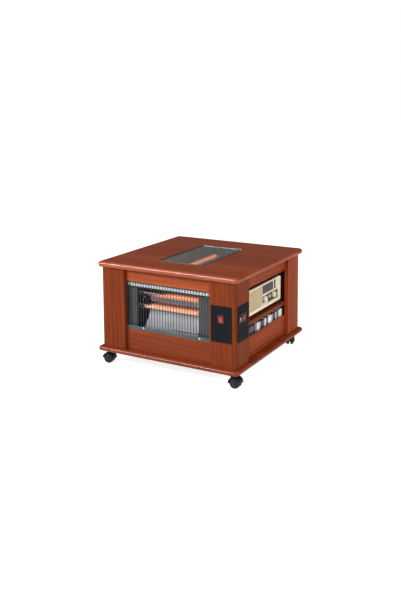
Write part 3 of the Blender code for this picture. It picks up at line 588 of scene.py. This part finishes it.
BRACKET_BLACK = moulded("bracket_bakelite", (0.010, 0.008, 0.008), 0.42, 500.0, 0.1, 0.15,
                        gloss=0.3)
CONTROL_BLACK = moulded("control_plate_black", (0.0075, 0.0095, 0.011), 0.50, 900.0, 0.12, 0.2,
                        gloss=0.09)
SWITCH_BLACK = moulded("switch_black", (0.010, 0.010, 0.012), 0.30, 900.0, 0.05, 0.5)
ROCKER_RED = moulded("rocker_red_gloss", (0.55, 0.020, 0.022), 0.20, 400.0, 0.02, 0.5)
# Painted shade: a near black finish for the near side rocker, which sits in shade.
ROCKER_BLACK_PAINTED_SHADE = moulded("rocker_black_gloss", (0.016, 0.017, 0.020), 0.18, 400.0, 0.02, 0.5)
# A painted highlight: the white of the glint on the near side rocker.
HIGHLIGHT_WHITE = moulded("mark_white", (0.86, 0.85, 0.83), 0.35, 500.0, 0.04)
CASTER_BLACK = moulded("caster_nylon", (0.012, 0.012, 0.015), 0.20, 350.0, 0.12, 0.35)
TREAD_BLACK = moulded("caster_tread", (0.016, 0.016, 0.018), 0.40, 260.0, 0.25)
SWITCH_NYLON = moulded("tip_switch_nylon", (0.030, 0.030, 0.032), 0.4)
CERAMIC = ceramic("steatite")
SALMON, CREAM_HOT = (0.90, 0.27, 0.12), (1.0, 0.66, 0.36)
UPPER_GLOW = glow("upper_quartz", "X", UPPER_TUBE_Z, (0.92, 0.34, 0.17), SALMON, 1.0,
                  lit=(-0.098, 0.1265), fade=0.05, slow=0.06)
LOWER_GLOW = glow("lower_quartz", "X", LOWER_TUBE_Z, CREAM_HOT, SALMON, 1.0,
                  lit=(-0.119, 0.1265), fade=0.012, slow=0.025)
TOP_GLOW = glow("top_quartz", "Y", TOP_TUBE_Z, (0.98, 0.30, 0.12), (0.95, 0.26, 0.11), 2.6,
                lit=(-0.150, 0.100))
RADIO_CREAM = moulded("radio_cream", (0.94, 0.86, 0.66), 0.30, 600.0, 0.06, 0.5)
RADIO_SHELL = moulded("radio_shell_brown", (0.022, 0.012, 0.009), 0.40, 600.0, 0.10)
KNOB_CREAM = moulded("knob_cream", (0.88, 0.84, 0.62), 0.26, 600.0, 0.04, 0.4)
RADIO_DARK = moulded("radio_dial_dark", (0.060, 0.040, 0.045), 0.22, 300.0, 0.02)
RADIO_BLACK = moulded("radio_slot_black", (0.035, 0.038, 0.022), 0.30, 300.0, 0.02)
RADIO_OLIVE = moulded("radio_field_olive", (0.060, 0.052, 0.022), 0.38, 500.0, 0.06)
RADIO_CLOTH = cloth("speaker_cloth", (0.70, 0.55, 0.31), 0.0200)
POINTER_RED = moulded("pointer_red", (0.45, 0.05, 0.05), 0.3)
CASE_COLORS = {
    "white": (0.97, 0.98, 1.0), "grey": (0.50, 0.56, 0.58), "teal": (0.07, 0.12, 0.15),
    "navy": (0.03, 0.04, 0.08), "rose": (0.42, 0.26, 0.24), "black": (0.015, 0.015, 0.02),
}
CASE_PLASTIC = {key: moulded("case_" + key, color, 0.16, 300.0, 0.03, 0.7, coat=0.4)
                for key, color in CASE_COLORS.items()}


# ---------------------------------------------------------------- cabinet
def bullnose(half, low, high, edge):
    """Return a square slab with round corners and a rim rounded above and below."""
    steps = 7
    rings = []
    for start, center_z in ((-90, low + edge), (0, high - edge)):
        for i in range(steps + 1):
            a = math.radians(start + 90 * i / steps)
            inset = edge * (1 - math.cos(a))
            outline = rounded_rectangle(half - inset, half - inset, PLAN_RADIUS - inset, 8)
            rings.append([(x, y, center_z + edge * math.sin(a)) for x, y in outline])
    return loft(rings)


def make_cabinet():
    top = show("top_panel_shape", bullnose(TOP_HALF, TOP_LOW, TOP_HIGH, 0.010), WOOD_TOP,
               "top_panel", replaces=["top_panel"], smooth=50)
    past = 0.01
    carve(top, box_mesh((-WINDOW_HALF, WINDOW_FRONT, TOP_LOW - past),
                        (WINDOW_HALF, WINDOW_BACK, TOP_HIGH + past)))
    base = show("base_panel_shape", bullnose(BASE_HALF, BASE_LOW, BASE_HIGH, 0.0085), WOOD_BASE,
                "base_panel", replaces=["base_panel"], smooth=50)
    holes = [(TIP_X, TIP_Y, BASE_HIGH - BASE_LOW + past)]
    for x in (-STEM_REACH, STEM_REACH):
        holes += [(x, y, STEM_HOLE_DEPTH) for y in (-STEM_REACH, STEM_REACH)]
    for x, y, depth in holes:
        drill = [(0, -past), (HOLE_RADIUS, -past), (HOLE_RADIUS, depth), (0, depth)]
        carve(base, turned(drill, 24, (x, y, BASE_LOW), (0, 0, 1)))
    for panel in (top, base):
        set_shading(panel, 40)

    for name in SLOT:
        if name.startswith("corner_post"):
            # The far back post gets the lighter copy and the other posts the darker one: painted
            # light and shade.
            refined(name, WOOD_FAR_POST_PAINTED_LIGHT if name.endswith("back_right") else WOOD_POSTS_PAINTED_SHADE, 0.0014, 3)
    refined("front_upper_rail", WOOD_FRONT, 0.0010)
    refined("front_lower_panel", WOOD_LOW_PAINTED_SHADE, 0.0010)
    refined("side_upper_rail", WOOD_SIDE, 0.0010)
    refined("left_side_panel", WOOD_SIDE, 0.0010)
    refined("drawer_front", WOOD_SIDE, 0.0014, 3)
    refined("back_panel", WOOD_BACK, 0.0006)
    for name in ("niche_partition", "niche_front_wall", "niche_rear_wall"):
        refined(name, WOOD_NICHE_PAINTED_SHADE, 0.0008)
    refined("niche_shelf", WOOD_SHELF_PAINTED_SHADE, 0.0010)
    refined("drawer_tray", TRAY_PAINT, 0.0005)


# ---------------------------------------------------------------- front heater
def screw_mesh(center, axis, radius, height):
    """Return a domed screw head."""
    profile = [(radius, 0.0)] + [(radius * math.cos(a), height * math.sin(a))
                                 for a in (0.35, 0.7, 1.05, 1.35)] + [(0, height)]
    bm = turned([(0, 0.0)] + profile, 24, (0, 0, 0), (0, 0, 1))
    bm.transform(facing(center, axis))
    return bm


def make_guard():
    """Make the guard from upright wires and three level ones."""
    first = -(WIRE_COUNT - 1) * WIRE_PITCH / 2
    guard = bmesh.new()
    for i in range(WIRE_COUNT):
        x = first + i * WIRE_PITCH
        heights = (WIRE_LOW, (WIRE_LOW + WIRE_HIGH) / 2, WIRE_HIGH)
        merge(guard, swept([(x, WIRE_Y, z) for z in heights], WIRE_RADIUS, 12))
    for z, radius in ((0.1580, 0.0011), (0.2455, 0.0008), (0.3398, 0.0011)):
        ends = (-LEVEL_WIRE_HALF, 0, LEVEL_WIRE_HALF)
        merge(guard, swept([(x, WIRE_Y, z) for x in ends], radius, 10))
    show("wire_guard", guard, GUARD_WIRE, "wire_grille", replaces=["wire_grille"], weigh=False)


def make_reflector():
    """Make the curved sheet, with its upright foot, and a row of black pads on the foot that paint
    shade in the shape of slots.
    """
    rows, sheet, half = 36, 0.0019, 0.1159
    rise = REFLECTOR_HIGH - REFLECTOR_BEND
    heights = [REFLECTOR_BEND + rise * i / rows for i in range(rows + 1)]
    foot_y = reflector_y(REFLECTOR_BEND)
    front = [(foot_y, REFLECTOR_LOW)] + [(reflector_y(z), z) for z in heights]
    section = front + [(y + sheet, z) for y, z in reversed(front)]
    curved = prism(section, HEATER_X - half, HEATER_X + half, "X")
    show("reflector_sheet", curved, REFLECTOR_METAL, "reflector", replaces=["reflector"],
         weigh=False)
    # Painted shade: thin black pads on the foot stand in for dark slots; nothing is cut.
    shade_pads = bmesh.new()
    for i in range(10):
        slot = rounded_rectangle(0.0038, 0.0016, 0.0014, 4, (0.0175 + i * 0.0112, 0.1730))
        rings = [[(x, foot_y - depth, z) for x, z in slot] for depth in (-0.0002, 0.0001)]
        merge(shade_pads, loft(rings))
    show("reflector_foot_vents", shade_pads, BRACKET_BLACK, "reflector", weigh=False)


def make_tube(name, start, axis, radius, length, rounding, material):
    """Make a quartz tube; rounding gives the (inset, depth) points at each of its ends."""
    rows = 12
    profile = [(0, 0)] + [(radius - inset, depth) for inset, depth in rounding]
    profile += [(radius, length * i / rows) for i in range(1, rows)]
    profile += [(radius - inset, length - depth) for inset, depth in reversed(rounding)]
    tube = turned(profile + [(0, length)], 32, start, axis)
    show(name + "_quartz", tube, material, name, replaces=[name], weigh=False)


def make_heater():
    refined("heater_housing", HOUSING, 0.0004)
    refined("deflector_strip", STRIP_METAL, 0.0003)
    make_guard()
    make_reflector()
    for name in ("tube_bracket_left", "tube_bracket_right"):
        refined(name, BRACKET_BLACK, 0.0005)
    rounding = ((0.0012, 0), (0.0003, 0.0006), (0, 0.0016))
    for name, z, material in (("upper_tube", UPPER_TUBE_Z, UPPER_GLOW),
                              ("lower_tube", LOWER_TUBE_Z, LOWER_GLOW)):
        make_tube(name, (HEATER_X - TUBE_HALF, TUBE_Y, z), (1, 0, 0), TUBE_RADIUS, 2 * TUBE_HALF,
                  rounding, material)
    for side, side_name in ((-1, "left"), (1, "right")):
        normal = Vector((-side * 0.855, -0.519, 0.0))
        heads = bmesh.new()
        for reach, y, z in ((0.1355, -0.2383, 0.2780), (0.1390, -0.2441, 0.2655),
                            (0.1440, -0.2520, 0.1860)):
            merge(heads, screw_mesh((HEATER_X + side * reach, y, z), normal, 0.0034, 0.0021))
        show("bracket_screws_" + side_name, heads, CHROME, "tube_bracket_" + side_name)
    for side_name, x, z in (("left", -0.1090, 0.1655), ("right", 0.1370, 0.1625)):
        head = screw_mesh((x, -0.27675, z), (0, -1, 0), 0.0036, 0.0006)
        show("lip_screw_" + side_name, head, CHROME, "heater_housing")
    refined("thermal_cutout", CERAMIC, 0.0006)
    refined("terminal_block", CERAMIC, 0.0006)
    refined("cord_gland", SWITCH_NYLON, 0.0005)
    refined("tip_switch_body", SWITCH_NYLON, 0.0008)
    refined("tip_switch_plunger", SWITCH_NYLON, 0.0005)


def make_window():
    refined("top_window_frame", RIM_METAL, 0.0004)
    refined("top_glass", GLASS, 0.0006)
    refined("top_reflector_tray", WINDOW_TRAY, 0.0004)
    refined("top_tube_bracket", BRACKET_BLACK, 0.0004)
    low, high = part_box("top_tube")
    start = (0, low.y, (low.z + high.z) / 2)
    make_tube("top_tube", start, (0, 1, 0), (high.x - low.x) / 2, high.y - low.y,
              ((0.0012, 0), (0, 0.0014)), TOP_GLOW)


# ---------------------------------------------------------------- controls
SWITCH_REST = (0, -1, 0)
ROCKER_TILT = math.radians(12)


def rocker_mesh(matrix):
    """Return a rocker with a hollow face, whose back fits the CAD rocker's."""
    half_w, half_h, proud, valley = 0.0075, 0.0104, -0.0057, -0.0036
    face = []
    for i in range(13):
        z = -half_h + 2 * half_h * i / 12
        face.append((valley + (proud - valley) * (abs(z) / half_h) ** 1.5, z))
    section = face + [(0.0010, half_h), (0.0068, 0.0045), (0.0068, -0.0045), (0.0010, -half_h)]
    bm = soften(prism(section, -half_w, half_w, "X"), 0.0006, 2, 40)
    bm.transform(matrix @ Matrix.Rotation(ROCKER_TILT, 4, "X"))
    return bm


def make_control(prefix, center, outward, reaches, rockers):
    """Make a control plate, its switch body and its rockers.

    The reaches are the distances from the switch's middle to the plate's two sides.
    """
    matrix = facing(center, outward, SWITCH_REST)
    reach = max(offset for name, offset in rockers)
    half_w, half_h = sum(reaches) / 2, (PLATE_HIGH - PLATE_LOW) / 2
    middle = ((reaches[1] - reaches[0]) / 2, (PLATE_HIGH + PLATE_LOW) / 2 - SWITCH_Z)
    outer = rounded_rectangle(half_w, half_h, 0.0035, 6, middle)
    inner = rounded_rectangle(reach + 0.0110, 0.0140, 0.0010, 6)
    plate = ring_slab(outer, inner, 0.0003, 0.0022, 0.0006,
                      lambda a, b, c: matrix @ Vector((a, -c, b)))
    show(prefix + "_control_plate_shape", plate, CONTROL_BLACK, prefix + "_control_plate",
         replaces=[prefix + "_control_plate"], smooth=30)
    refined(prefix + "_switch_body", SWITCH_BLACK, 0.0005)
    for name, offset in rockers:
        placed = matrix @ Matrix.Translation((offset, 0, 0))
        # Painted shade: the near side rocker is drawn near black for the shade on it; the far one
        # is red.
        material = ROCKER_BLACK_PAINTED_SHADE if name == "side_rocker_near" else ROCKER_RED
        show(name + "_shape", rocker_mesh(placed), material, name, replaces=[name], smooth=45)


def make_rocker_painted_highlight():
    """Make a slanted white bar on the face of the near side rocker: a painted highlight for the
    glint on its glossy lower half.
    """
    placed = facing((POST_FACE, -0.2585, SWITCH_Z), (1, 0, 0), SWITCH_REST)
    placed = placed @ Matrix.Rotation(ROCKER_TILT, 4, "X")
    bar = soften(box_mesh((-0.0018, -0.0052, -0.0095), (0.0018, -0.0030, 0.0095)), 0.0003, 2, 40)
    bar.transform(placed @ Matrix.Rotation(math.radians(-24), 4, "Y"))
    show("side_rocker_near_bar", bar, HIGHLIGHT_WHITE, "side_rocker_near")


def make_controls():
    make_control("front", (0.235, -POST_FACE, SWITCH_Z), (0, -1, 0), (0.041, 0.043),
                 [("front_rocker", 0)])
    make_control("side", (POST_FACE, -0.2425, SWITCH_Z), (1, 0, 0), (0.0335, 0.0545),
                 [("side_rocker_near", -0.016), ("side_rocker_far", 0.016)])
    make_rocker_painted_highlight()


# ---------------------------------------------------------------- radio
def on_face(bm):
    """Move a mesh built flat (its X along the radio, Y up, Z out) to the radio's face."""
    bm.transform(Matrix(((0, 0, 1, 0), (1, 0, 0, 0), (0, 1, 0, 0), (0, 0, 0, 1))))
    return bm


HAIRLINE = 0.00005


def slab(y_span, z_span, x_span, radius, soft=0.0003):
    """Return a thin plate with round corners that faces +X."""
    half_y, half_z = (y_span[1] - y_span[0]) / 2, (z_span[1] - z_span[0]) / 2
    center = ((y_span[0] + y_span[1]) / 2, (z_span[0] + z_span[1]) / 2)
    outline = rounded_rectangle(half_y, half_z, radius, 5, center)
    bm = loft([[(a, b, x) for a, b in outline] for x in x_span])
    return on_face(soften(bm, soft, 2, 50))


def make_radio():
    low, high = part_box("radio_case")
    half_y, half_z = (high.y - low.y) / 2, (high.z - RADIO_LOW) / 2
    center = ((high.y + low.y) / 2, (high.z + RADIO_LOW) / 2)
    rings = []
    for x, inset in ((low.x, 0.004), (low.x + 0.0012, 0.0012), (low.x + 0.004, 0.0),
                     (high.x - 0.007, 0.0), (high.x - 0.0009, 0.0008), (high.x, 0.0028)):
        outline = rounded_rectangle(half_y - inset, half_z - inset, 0.007 - inset, 8, center)
        rings.append([(x, y, z) for y, z in outline])
    case = loft(rings)
    foot = [(0, 0), (0.0055, 0), (0.0068, 0.0012), (0.0068, 0.012), (0, 0.012)]
    for y in (low.y + 0.025, high.y - 0.025):
        for x in (low.x + 0.015, high.x - 0.015):
            merge(case, turned(foot, 20, (x, y, low.z), (0, 0, 1)))
    shell = show("radio_case_shape", case, RADIO_SHELL, "radio_case", replaces=["radio_case"],
                 weigh=False)
    pocket, out, dial_low, bar = high.x - 0.006, high.x + 0.01, 0.280, 0.0065
    floor, ceiling = RADIO_LOW + 0.015, high.z - 0.006
    for y0, y1, z0, z1 in ((low.y + 0.006, -0.012, floor, ceiling),
                           (-0.009, 0.140, dial_low, ceiling),
                           (-0.009, 0.140, floor, dial_low - bar)):
        carve(shell, box_mesh((pocket, y0, z0), (out, y1, z1)))
    soft = shell.modifiers.new("soft_edges", "BEVEL")
    soft.width, soft.segments, soft.angle_limit = 0.0007, 2, math.radians(50)
    apply_modifiers(shell)
    shell.data.materials.append(RADIO_CREAM)
    for face in shell.data.polygons:
        face.material_index = 1 if face.center.x > high.x - 0.0055 else 0
    set_shading(shell, 50)

    refined("radio_speaker_grille", RADIO_CLOTH, 0.0008)
    refined("radio_dial_window", RADIO_DARK, 0.0006)
    make_dial(0.2630)
    for name, material, y_span, z_span, depths, radius, soft in (
            ("radio_field_panel", RADIO_OLIVE, (-0.0086, 0.1396), (0.2379, 0.2731),
             (0, 0.0002), 0.002, HAIRLINE),
            ("radio_slider_slot", RADIO_BLACK, (0.0610, 0.0640), (0.2450, 0.2700),
             (0.0002, 0.0008), 0.0012, 0.0003),
            ("radio_slider_key", KNOB_CREAM, (0.0585, 0.0665), (0.2540, 0.2640),
             (0.0008, 0.0048), 0.0012, 0.0003),
            ("radio_band_key", KNOB_CREAM, (-0.0060, 0.0460), (0.2384, 0.2434),
             (0.0002, 0.0035), 0.0012, 0.0003)):
        x_span = [pocket + depth for depth in depths]
        show(name, slab(y_span, z_span, x_span, radius, soft), material, "radio_case")
    for name in ("radio_volume_knob", "radio_tuning_knob"):
        make_knob(name)


def make_dial(face):
    """Make the strips, the gaps, the scale and the pointer on the dial window's face."""
    full = (0.2812, 0.3143)
    thin, middle, thick = ((face, face + depth) for depth in (0.0002, 0.0003, 0.0006))
    strips = slab((0.0930, 0.1010), full, thick, 0.001)
    merge(strips, slab((0.1170, 0.1392), full, thick, 0.001))
    show("radio_dial_strips", strips, RADIO_CREAM, "radio_case")
    gaps = slab((0.0855, 0.0922), full, middle, 0.0005, HAIRLINE)
    merge(gaps, slab((0.1018, 0.1160), full, middle, 0.0005, HAIRLINE))
    show("radio_dial_gaps", gaps, RADIO_BLACK, "radio_case")
    scale = bmesh.new()
    for i in range(13):
        y, z = -0.004 + i * 0.0064, 0.2990
        tall = 0.0050 if i % 3 == 0 else 0.0030
        merge(scale, slab((y, y + 0.0006), (z, z + tall), thin, 0.0002, HAIRLINE))
    merge(scale, slab((-0.006, 0.077), (0.2900, 0.2905), thin, 0.0002, HAIRLINE))
    show("radio_dial_scale", scale, RADIO_OLIVE, "radio_case")
    pointer = slab((0.0300, 0.0310), (0.2840, 0.3120), (middle[1], thick[1]), 0.0003, 0.0001)
    show("radio_dial_pointer", pointer, POINTER_RED, "radio_case")


def make_knob(name):
    """Make a fluted knob with a dished face and a pointer line."""
    low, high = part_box(name)
    center = (low + high) / 2
    radius, length, flutes = (high.y - low.y) / 2, high.x - low.x, 30
    rings = []
    for depth, scale, cut in ((0.0, 0.97, 0.0), (0.0006, 1.0, 0.03),
                              (length - 0.0022, 0.985, 0.03), (length - 0.0008, 0.94, 0.015),
                              (length, 0.86, 0.0), (length - 0.0006, 0.78, 0.0)):
        ring = []
        for k in range(flutes * 4):
            a = 2 * math.pi * k / (flutes * 4)
            r = radius * scale * (1 - cut * (0.5 + 0.5 * math.cos(flutes * a)))
            ring.append((low.x + depth, center.y + r * math.cos(a), center.z + r * math.sin(a)))
        rings.append(ring)
    show(name + "_shape", loft(rings), KNOB_CREAM, name, replaces=[name], smooth=50, weigh=False)
    tip = high.x - 0.0006
    line = slab((center.y - 0.0006, center.y + 0.0006),
                (center.z + 0.002, center.z + radius * 0.72),
                (tip, tip + 0.0004), 0.0004, 0.0001)
    show(name + "_line", line, RADIO_DARK, name)


# ---------------------------------------------------------------- cases in the drawer
def make_cases():
    """Make the separate cassette cases, each with a flush top panel and a spine plate."""
    low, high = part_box("media_case_row")
    order = ("grey", "teal", "teal", "navy", "teal", "black", "rose", "white", "grey", "black",
             "teal", "white", "navy", "white", "white", "rose", "black", "grey", "teal", "white",
             "white")
    pitch = (high.y - low.y) / len(order)
    chance = random.Random(7)
    for i, key in enumerate(order):
        y0, y1 = low.y + i * pitch + 0.0006, low.y + (i + 1) * pitch - 0.0006
        top = high.z - chance.uniform(0.0, 0.0012)
        front = high.x - 0.0002 - chance.uniform(0.0, 0.0010)
        case = soften(box_mesh((low.x, y0, low.z), (front, y1, top)), 0.0011, 3)
        panel = box_mesh((low.x + 0.004, y0 + 0.0030, top - 0.0006),
                         (front - 0.006, y1 - 0.0030, top))
        merge(case, soften(panel, 0.0002))
        number, plastic = "%02d" % (i + 1), CASE_PLASTIC[key]
        show("case_" + number, case, plastic, "media_case_row", replaces=["media_case_row"],
             smooth=30)
        spine = slab((y0 + 0.0022, y1 - 0.0022), (low.z + 0.006, top - 0.005),
                     (front, front + 0.0002), 0.0006, HAIRLINE)
        show("case_spine_" + number, spine, plastic, "media_case_row")


# ---------------------------------------------------------------- casters
WHEEL_Z = 0.020
RIB_COUNT = 6


def make_caster(name):
    """Make a hood with rounded cheeks, a stem and an axle, and two wheels."""
    stem_x = math.copysign(STEM_REACH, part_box(name + "_hood")[0].x)
    stem_y = math.copysign(STEM_REACH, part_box(name + "_hood")[0].y)
    first, second = (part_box(name + suffix) for suffix in ("_wheel_a", "_wheel_b"))
    axle = (first[0] + first[1] + second[0] + second[1]) / 4
    yaw = math.atan2(stem_y - axle.y, stem_x - axle.x)
    placed = Matrix.Translation((stem_x, stem_y, 0)) @ Matrix.Rotation(yaw, 4, "Z")
    trail = math.hypot(stem_x - axle.x, stem_y - axle.y)

    shell = bmesh.new()
    across = [(-0.0190, 0.0216), (-0.0186, 0.0227), (-0.0172, 0.0234), (-0.0080, 0.0235),
              (0.0080, 0.0235), (0.0172, 0.0234), (0.0186, 0.0227), (0.0190, 0.0216),
              (0.0172, 0.0213), (-0.0172, 0.0213)]
    rings = []
    for i in range(41):
        a = math.radians(-8 + 186 * i / 40)
        rings.append([(-trail + r * math.cos(a), y, WHEEL_Z + r * math.sin(a)) for y, r in across])
    merge(shell, loft(rings))
    web = arc((-trail, WHEEL_Z), 0.0223, -6, 176, 24)
    web += arc((-trail, WHEEL_Z), 0.0062, 200, 340, 8)
    merge(shell, soften(prism(web, -0.0028, 0.0028, "Y"), 0.0005, 2, 40))
    merge(shell, soften(box_mesh((-0.010, -0.0028, 0.031), (0.006, 0.0028, 0.042)), 0.0008))
    collar = [(0, 0.0402), (0.0070, 0.0402), (0.0085, 0.0415), (0.0085, 0.0530), (0.0078, 0.0543),
              (0.0050, 0.0543), (0.0050, 0.0688), (0, 0.0688)]
    merge(shell, turned(collar, 32, (0, 0, 0), (0, 0, 1)))
    pin = [(0, -0.0130), (0.0025, -0.0130), (0.0025, 0.0130), (0, 0.0130)]
    merge(shell, turned(pin, 20, (-trail, 0, WHEEL_Z), (0, 1, 0)))
    shell.transform(placed)
    show(name + "_hood_shape", shell, CASTER_BLACK, name + "_hood",
         replaces=[name + "_hood"], weigh=False)

    for side, suffix in ((-1, "_wheel_a"), (1, "_wheel_b")):
        outward = placed.to_3x3() @ Vector((0, side, 0))
        make_wheel(name + suffix, placed @ Vector((-trail, 0, WHEEL_Z)), outward)


def make_wheel(name, center, axis):
    """Make a wheel: a tread ring and a ribbed, dished disc."""
    inner, face, bore = 0.0035, 0.0170, 0.0028
    tread = [(0.0172, inner), (0.0186, inner), (0.0197, inner + 0.0008), (0.0200, inner + 0.0018),
             (0.0200, face - 0.0062), (0.0196, face - 0.0046), (0.0184, face - 0.0034),
             (0.0172, face - 0.0034)]
    show(name + "_tread", turned(tread, 64, center, axis), TREAD_BLACK, name, replaces=[name],
         smooth=30, weigh=False)
    disc = [(bore, inner), (0.0171, inner), (0.0171, face - 0.0036), (0.0160, face - 0.0016),
            (0.0145, face - 0.0010), (0.0138, face - 0.0024), (0.0080, face - 0.0024),
            (0.0072, face - 0.0004), (0.0060, face), (0, face), (0, face - 0.0035),
            (bore, face - 0.0035)]
    bm = turned(disc, 48, center, axis)
    for k in range(RIB_COUNT):
        low, high = (0.0070, -0.0007, face - 0.0032), (0.0142, 0.0007, face - 0.0012)
        rib = soften(box_mesh(low, high), 0.0003)
        turn = Matrix.Rotation(2 * math.pi * k / RIB_COUNT, 4, "Z")
        rib.transform(facing(center, axis) @ turn)
        merge(bm, rib)
    show(name + "_disc", bm, CASTER_BLACK, name, smooth=30, weigh=False)


# ---------------------------------------------------------------- stage
def make_stage():
    bm = bmesh.new()
    bmesh.ops.create_grid(bm, x_segments=1, y_segments=1, size=30.0)
    floor = new_object("floor", bm)
    s = Shader("floor_paper", {"Roughness": 0.9, "Emission Color": (1.0, 1.0, 1.0, 1.0),
                               "Specular IOR Level": 0.0})
    seen = s.add("LightPath").outputs["Is Camera Ray"]
    s.put(s.main.inputs["Emission Strength"], s.span(seen, 0, 1, 0.15, 0.85))
    fibre = s.noise(s.place(), 40.0, 2.0, 0.5)
    paper = s.finish(s.blend(fibre, (0.60, 0.60, 0.60), (0.64, 0.64, 0.64)))
    floor.data.materials.append(paper)


def make_world():
    """A studio that looks white; it lights the object from the horizon and from overhead."""
    world = bpy.data.worlds.new("studio")
    bpy.context.scene.world = world
    world.use_nodes = True
    tree = world.node_tree
    coordinates = tree.nodes.new("ShaderNodeTexCoord")
    split = tree.nodes.new("ShaderNodeSeparateXYZ")
    tree.links.new(coordinates.outputs["Generated"], split.inputs[0])
    ramp = tree.nodes.new("ShaderNodeValToRGB")
    tree.links.new(split.outputs["Z"], ramp.inputs["Fac"])
    stops = ((0.0, 0.50), (0.08, 0.30), (0.17, 0.05), (0.5, 0.05), (0.75, 0.45), (1.0, 0.65))
    fill_ramp(ramp.color_ramp.elements, [(place, (value,) * 3) for place, value in stops])
    seen = tree.nodes.new("ShaderNodeLightPath").outputs["Is Camera Ray"]
    choice = tree.nodes.new("ShaderNodeMix")
    choice.data_type = "RGBA"
    choice.inputs[7].default_value = (1.0, 1.0, 1.0, 1.0)
    tree.links.new(seen, choice.inputs[0])
    tree.links.new(ramp.outputs["Color"], choice.inputs[6])
    tree.links.new(choice.outputs[2], tree.nodes["Background"].inputs["Color"])


def area_light(name, place, target, size, power):
    data = bpy.data.lights.new(name, "AREA")
    data.shape = "RECTANGLE"
    data.size, data.size_y = size
    data.energy = power
    light = bpy.data.objects.new(name, data)
    light.location = place
    light.rotation_euler = (Vector(target) - Vector(place)).to_track_quat("-Z", "Y").to_euler()
    bpy.context.scene.collection.objects.link(light)


def make_camera():
    data = bpy.data.cameras.new("camera")
    data.lens, data.sensor_width = 45.579, 36.0
    data.shift_y = -0.1974
    data.clip_end = 200.0
    camera = bpy.data.objects.new("camera", data)
    heading, pitch, roll = (Matrix.Rotation(math.radians(angle), 4, axis)
                            for angle, axis in ((29.747, "Z"), (83.377, "X"), (-0.356, "Z")))
    camera.matrix_world = Matrix.Translation((1.4822, -2.6162, 1.0540)) @ heading @ pitch @ roll
    bpy.context.scene.collection.objects.link(camera)
    bpy.context.scene.camera = camera


make_camera()
make_stage()
make_world()
area_light("front_softbox", (-1.6, -2.6, 1.9), (0, 0, 0.25), (1.6, 1.0), 55)
area_light("front_strip", (-1.7, -2.6, 1.9), (0, 0, 0.35), (2.6, 0.25), 60)
area_light("right_softbox", (2.9, -0.6, 1.2), (0.1, 0, 0.25), (1.0, 0.6), 45)
area_light("corner_lamp", (0.9, -2.9, 1.9), (0.3, -0.3, 0.35), (0.3, 0.3), 20)
bpy.context.scene.view_settings.view_transform = "Standard"

make_cabinet()
make_heater()
make_window()
make_controls()
make_radio()
make_cases()
for caster in CASTERS:
    make_caster(caster)
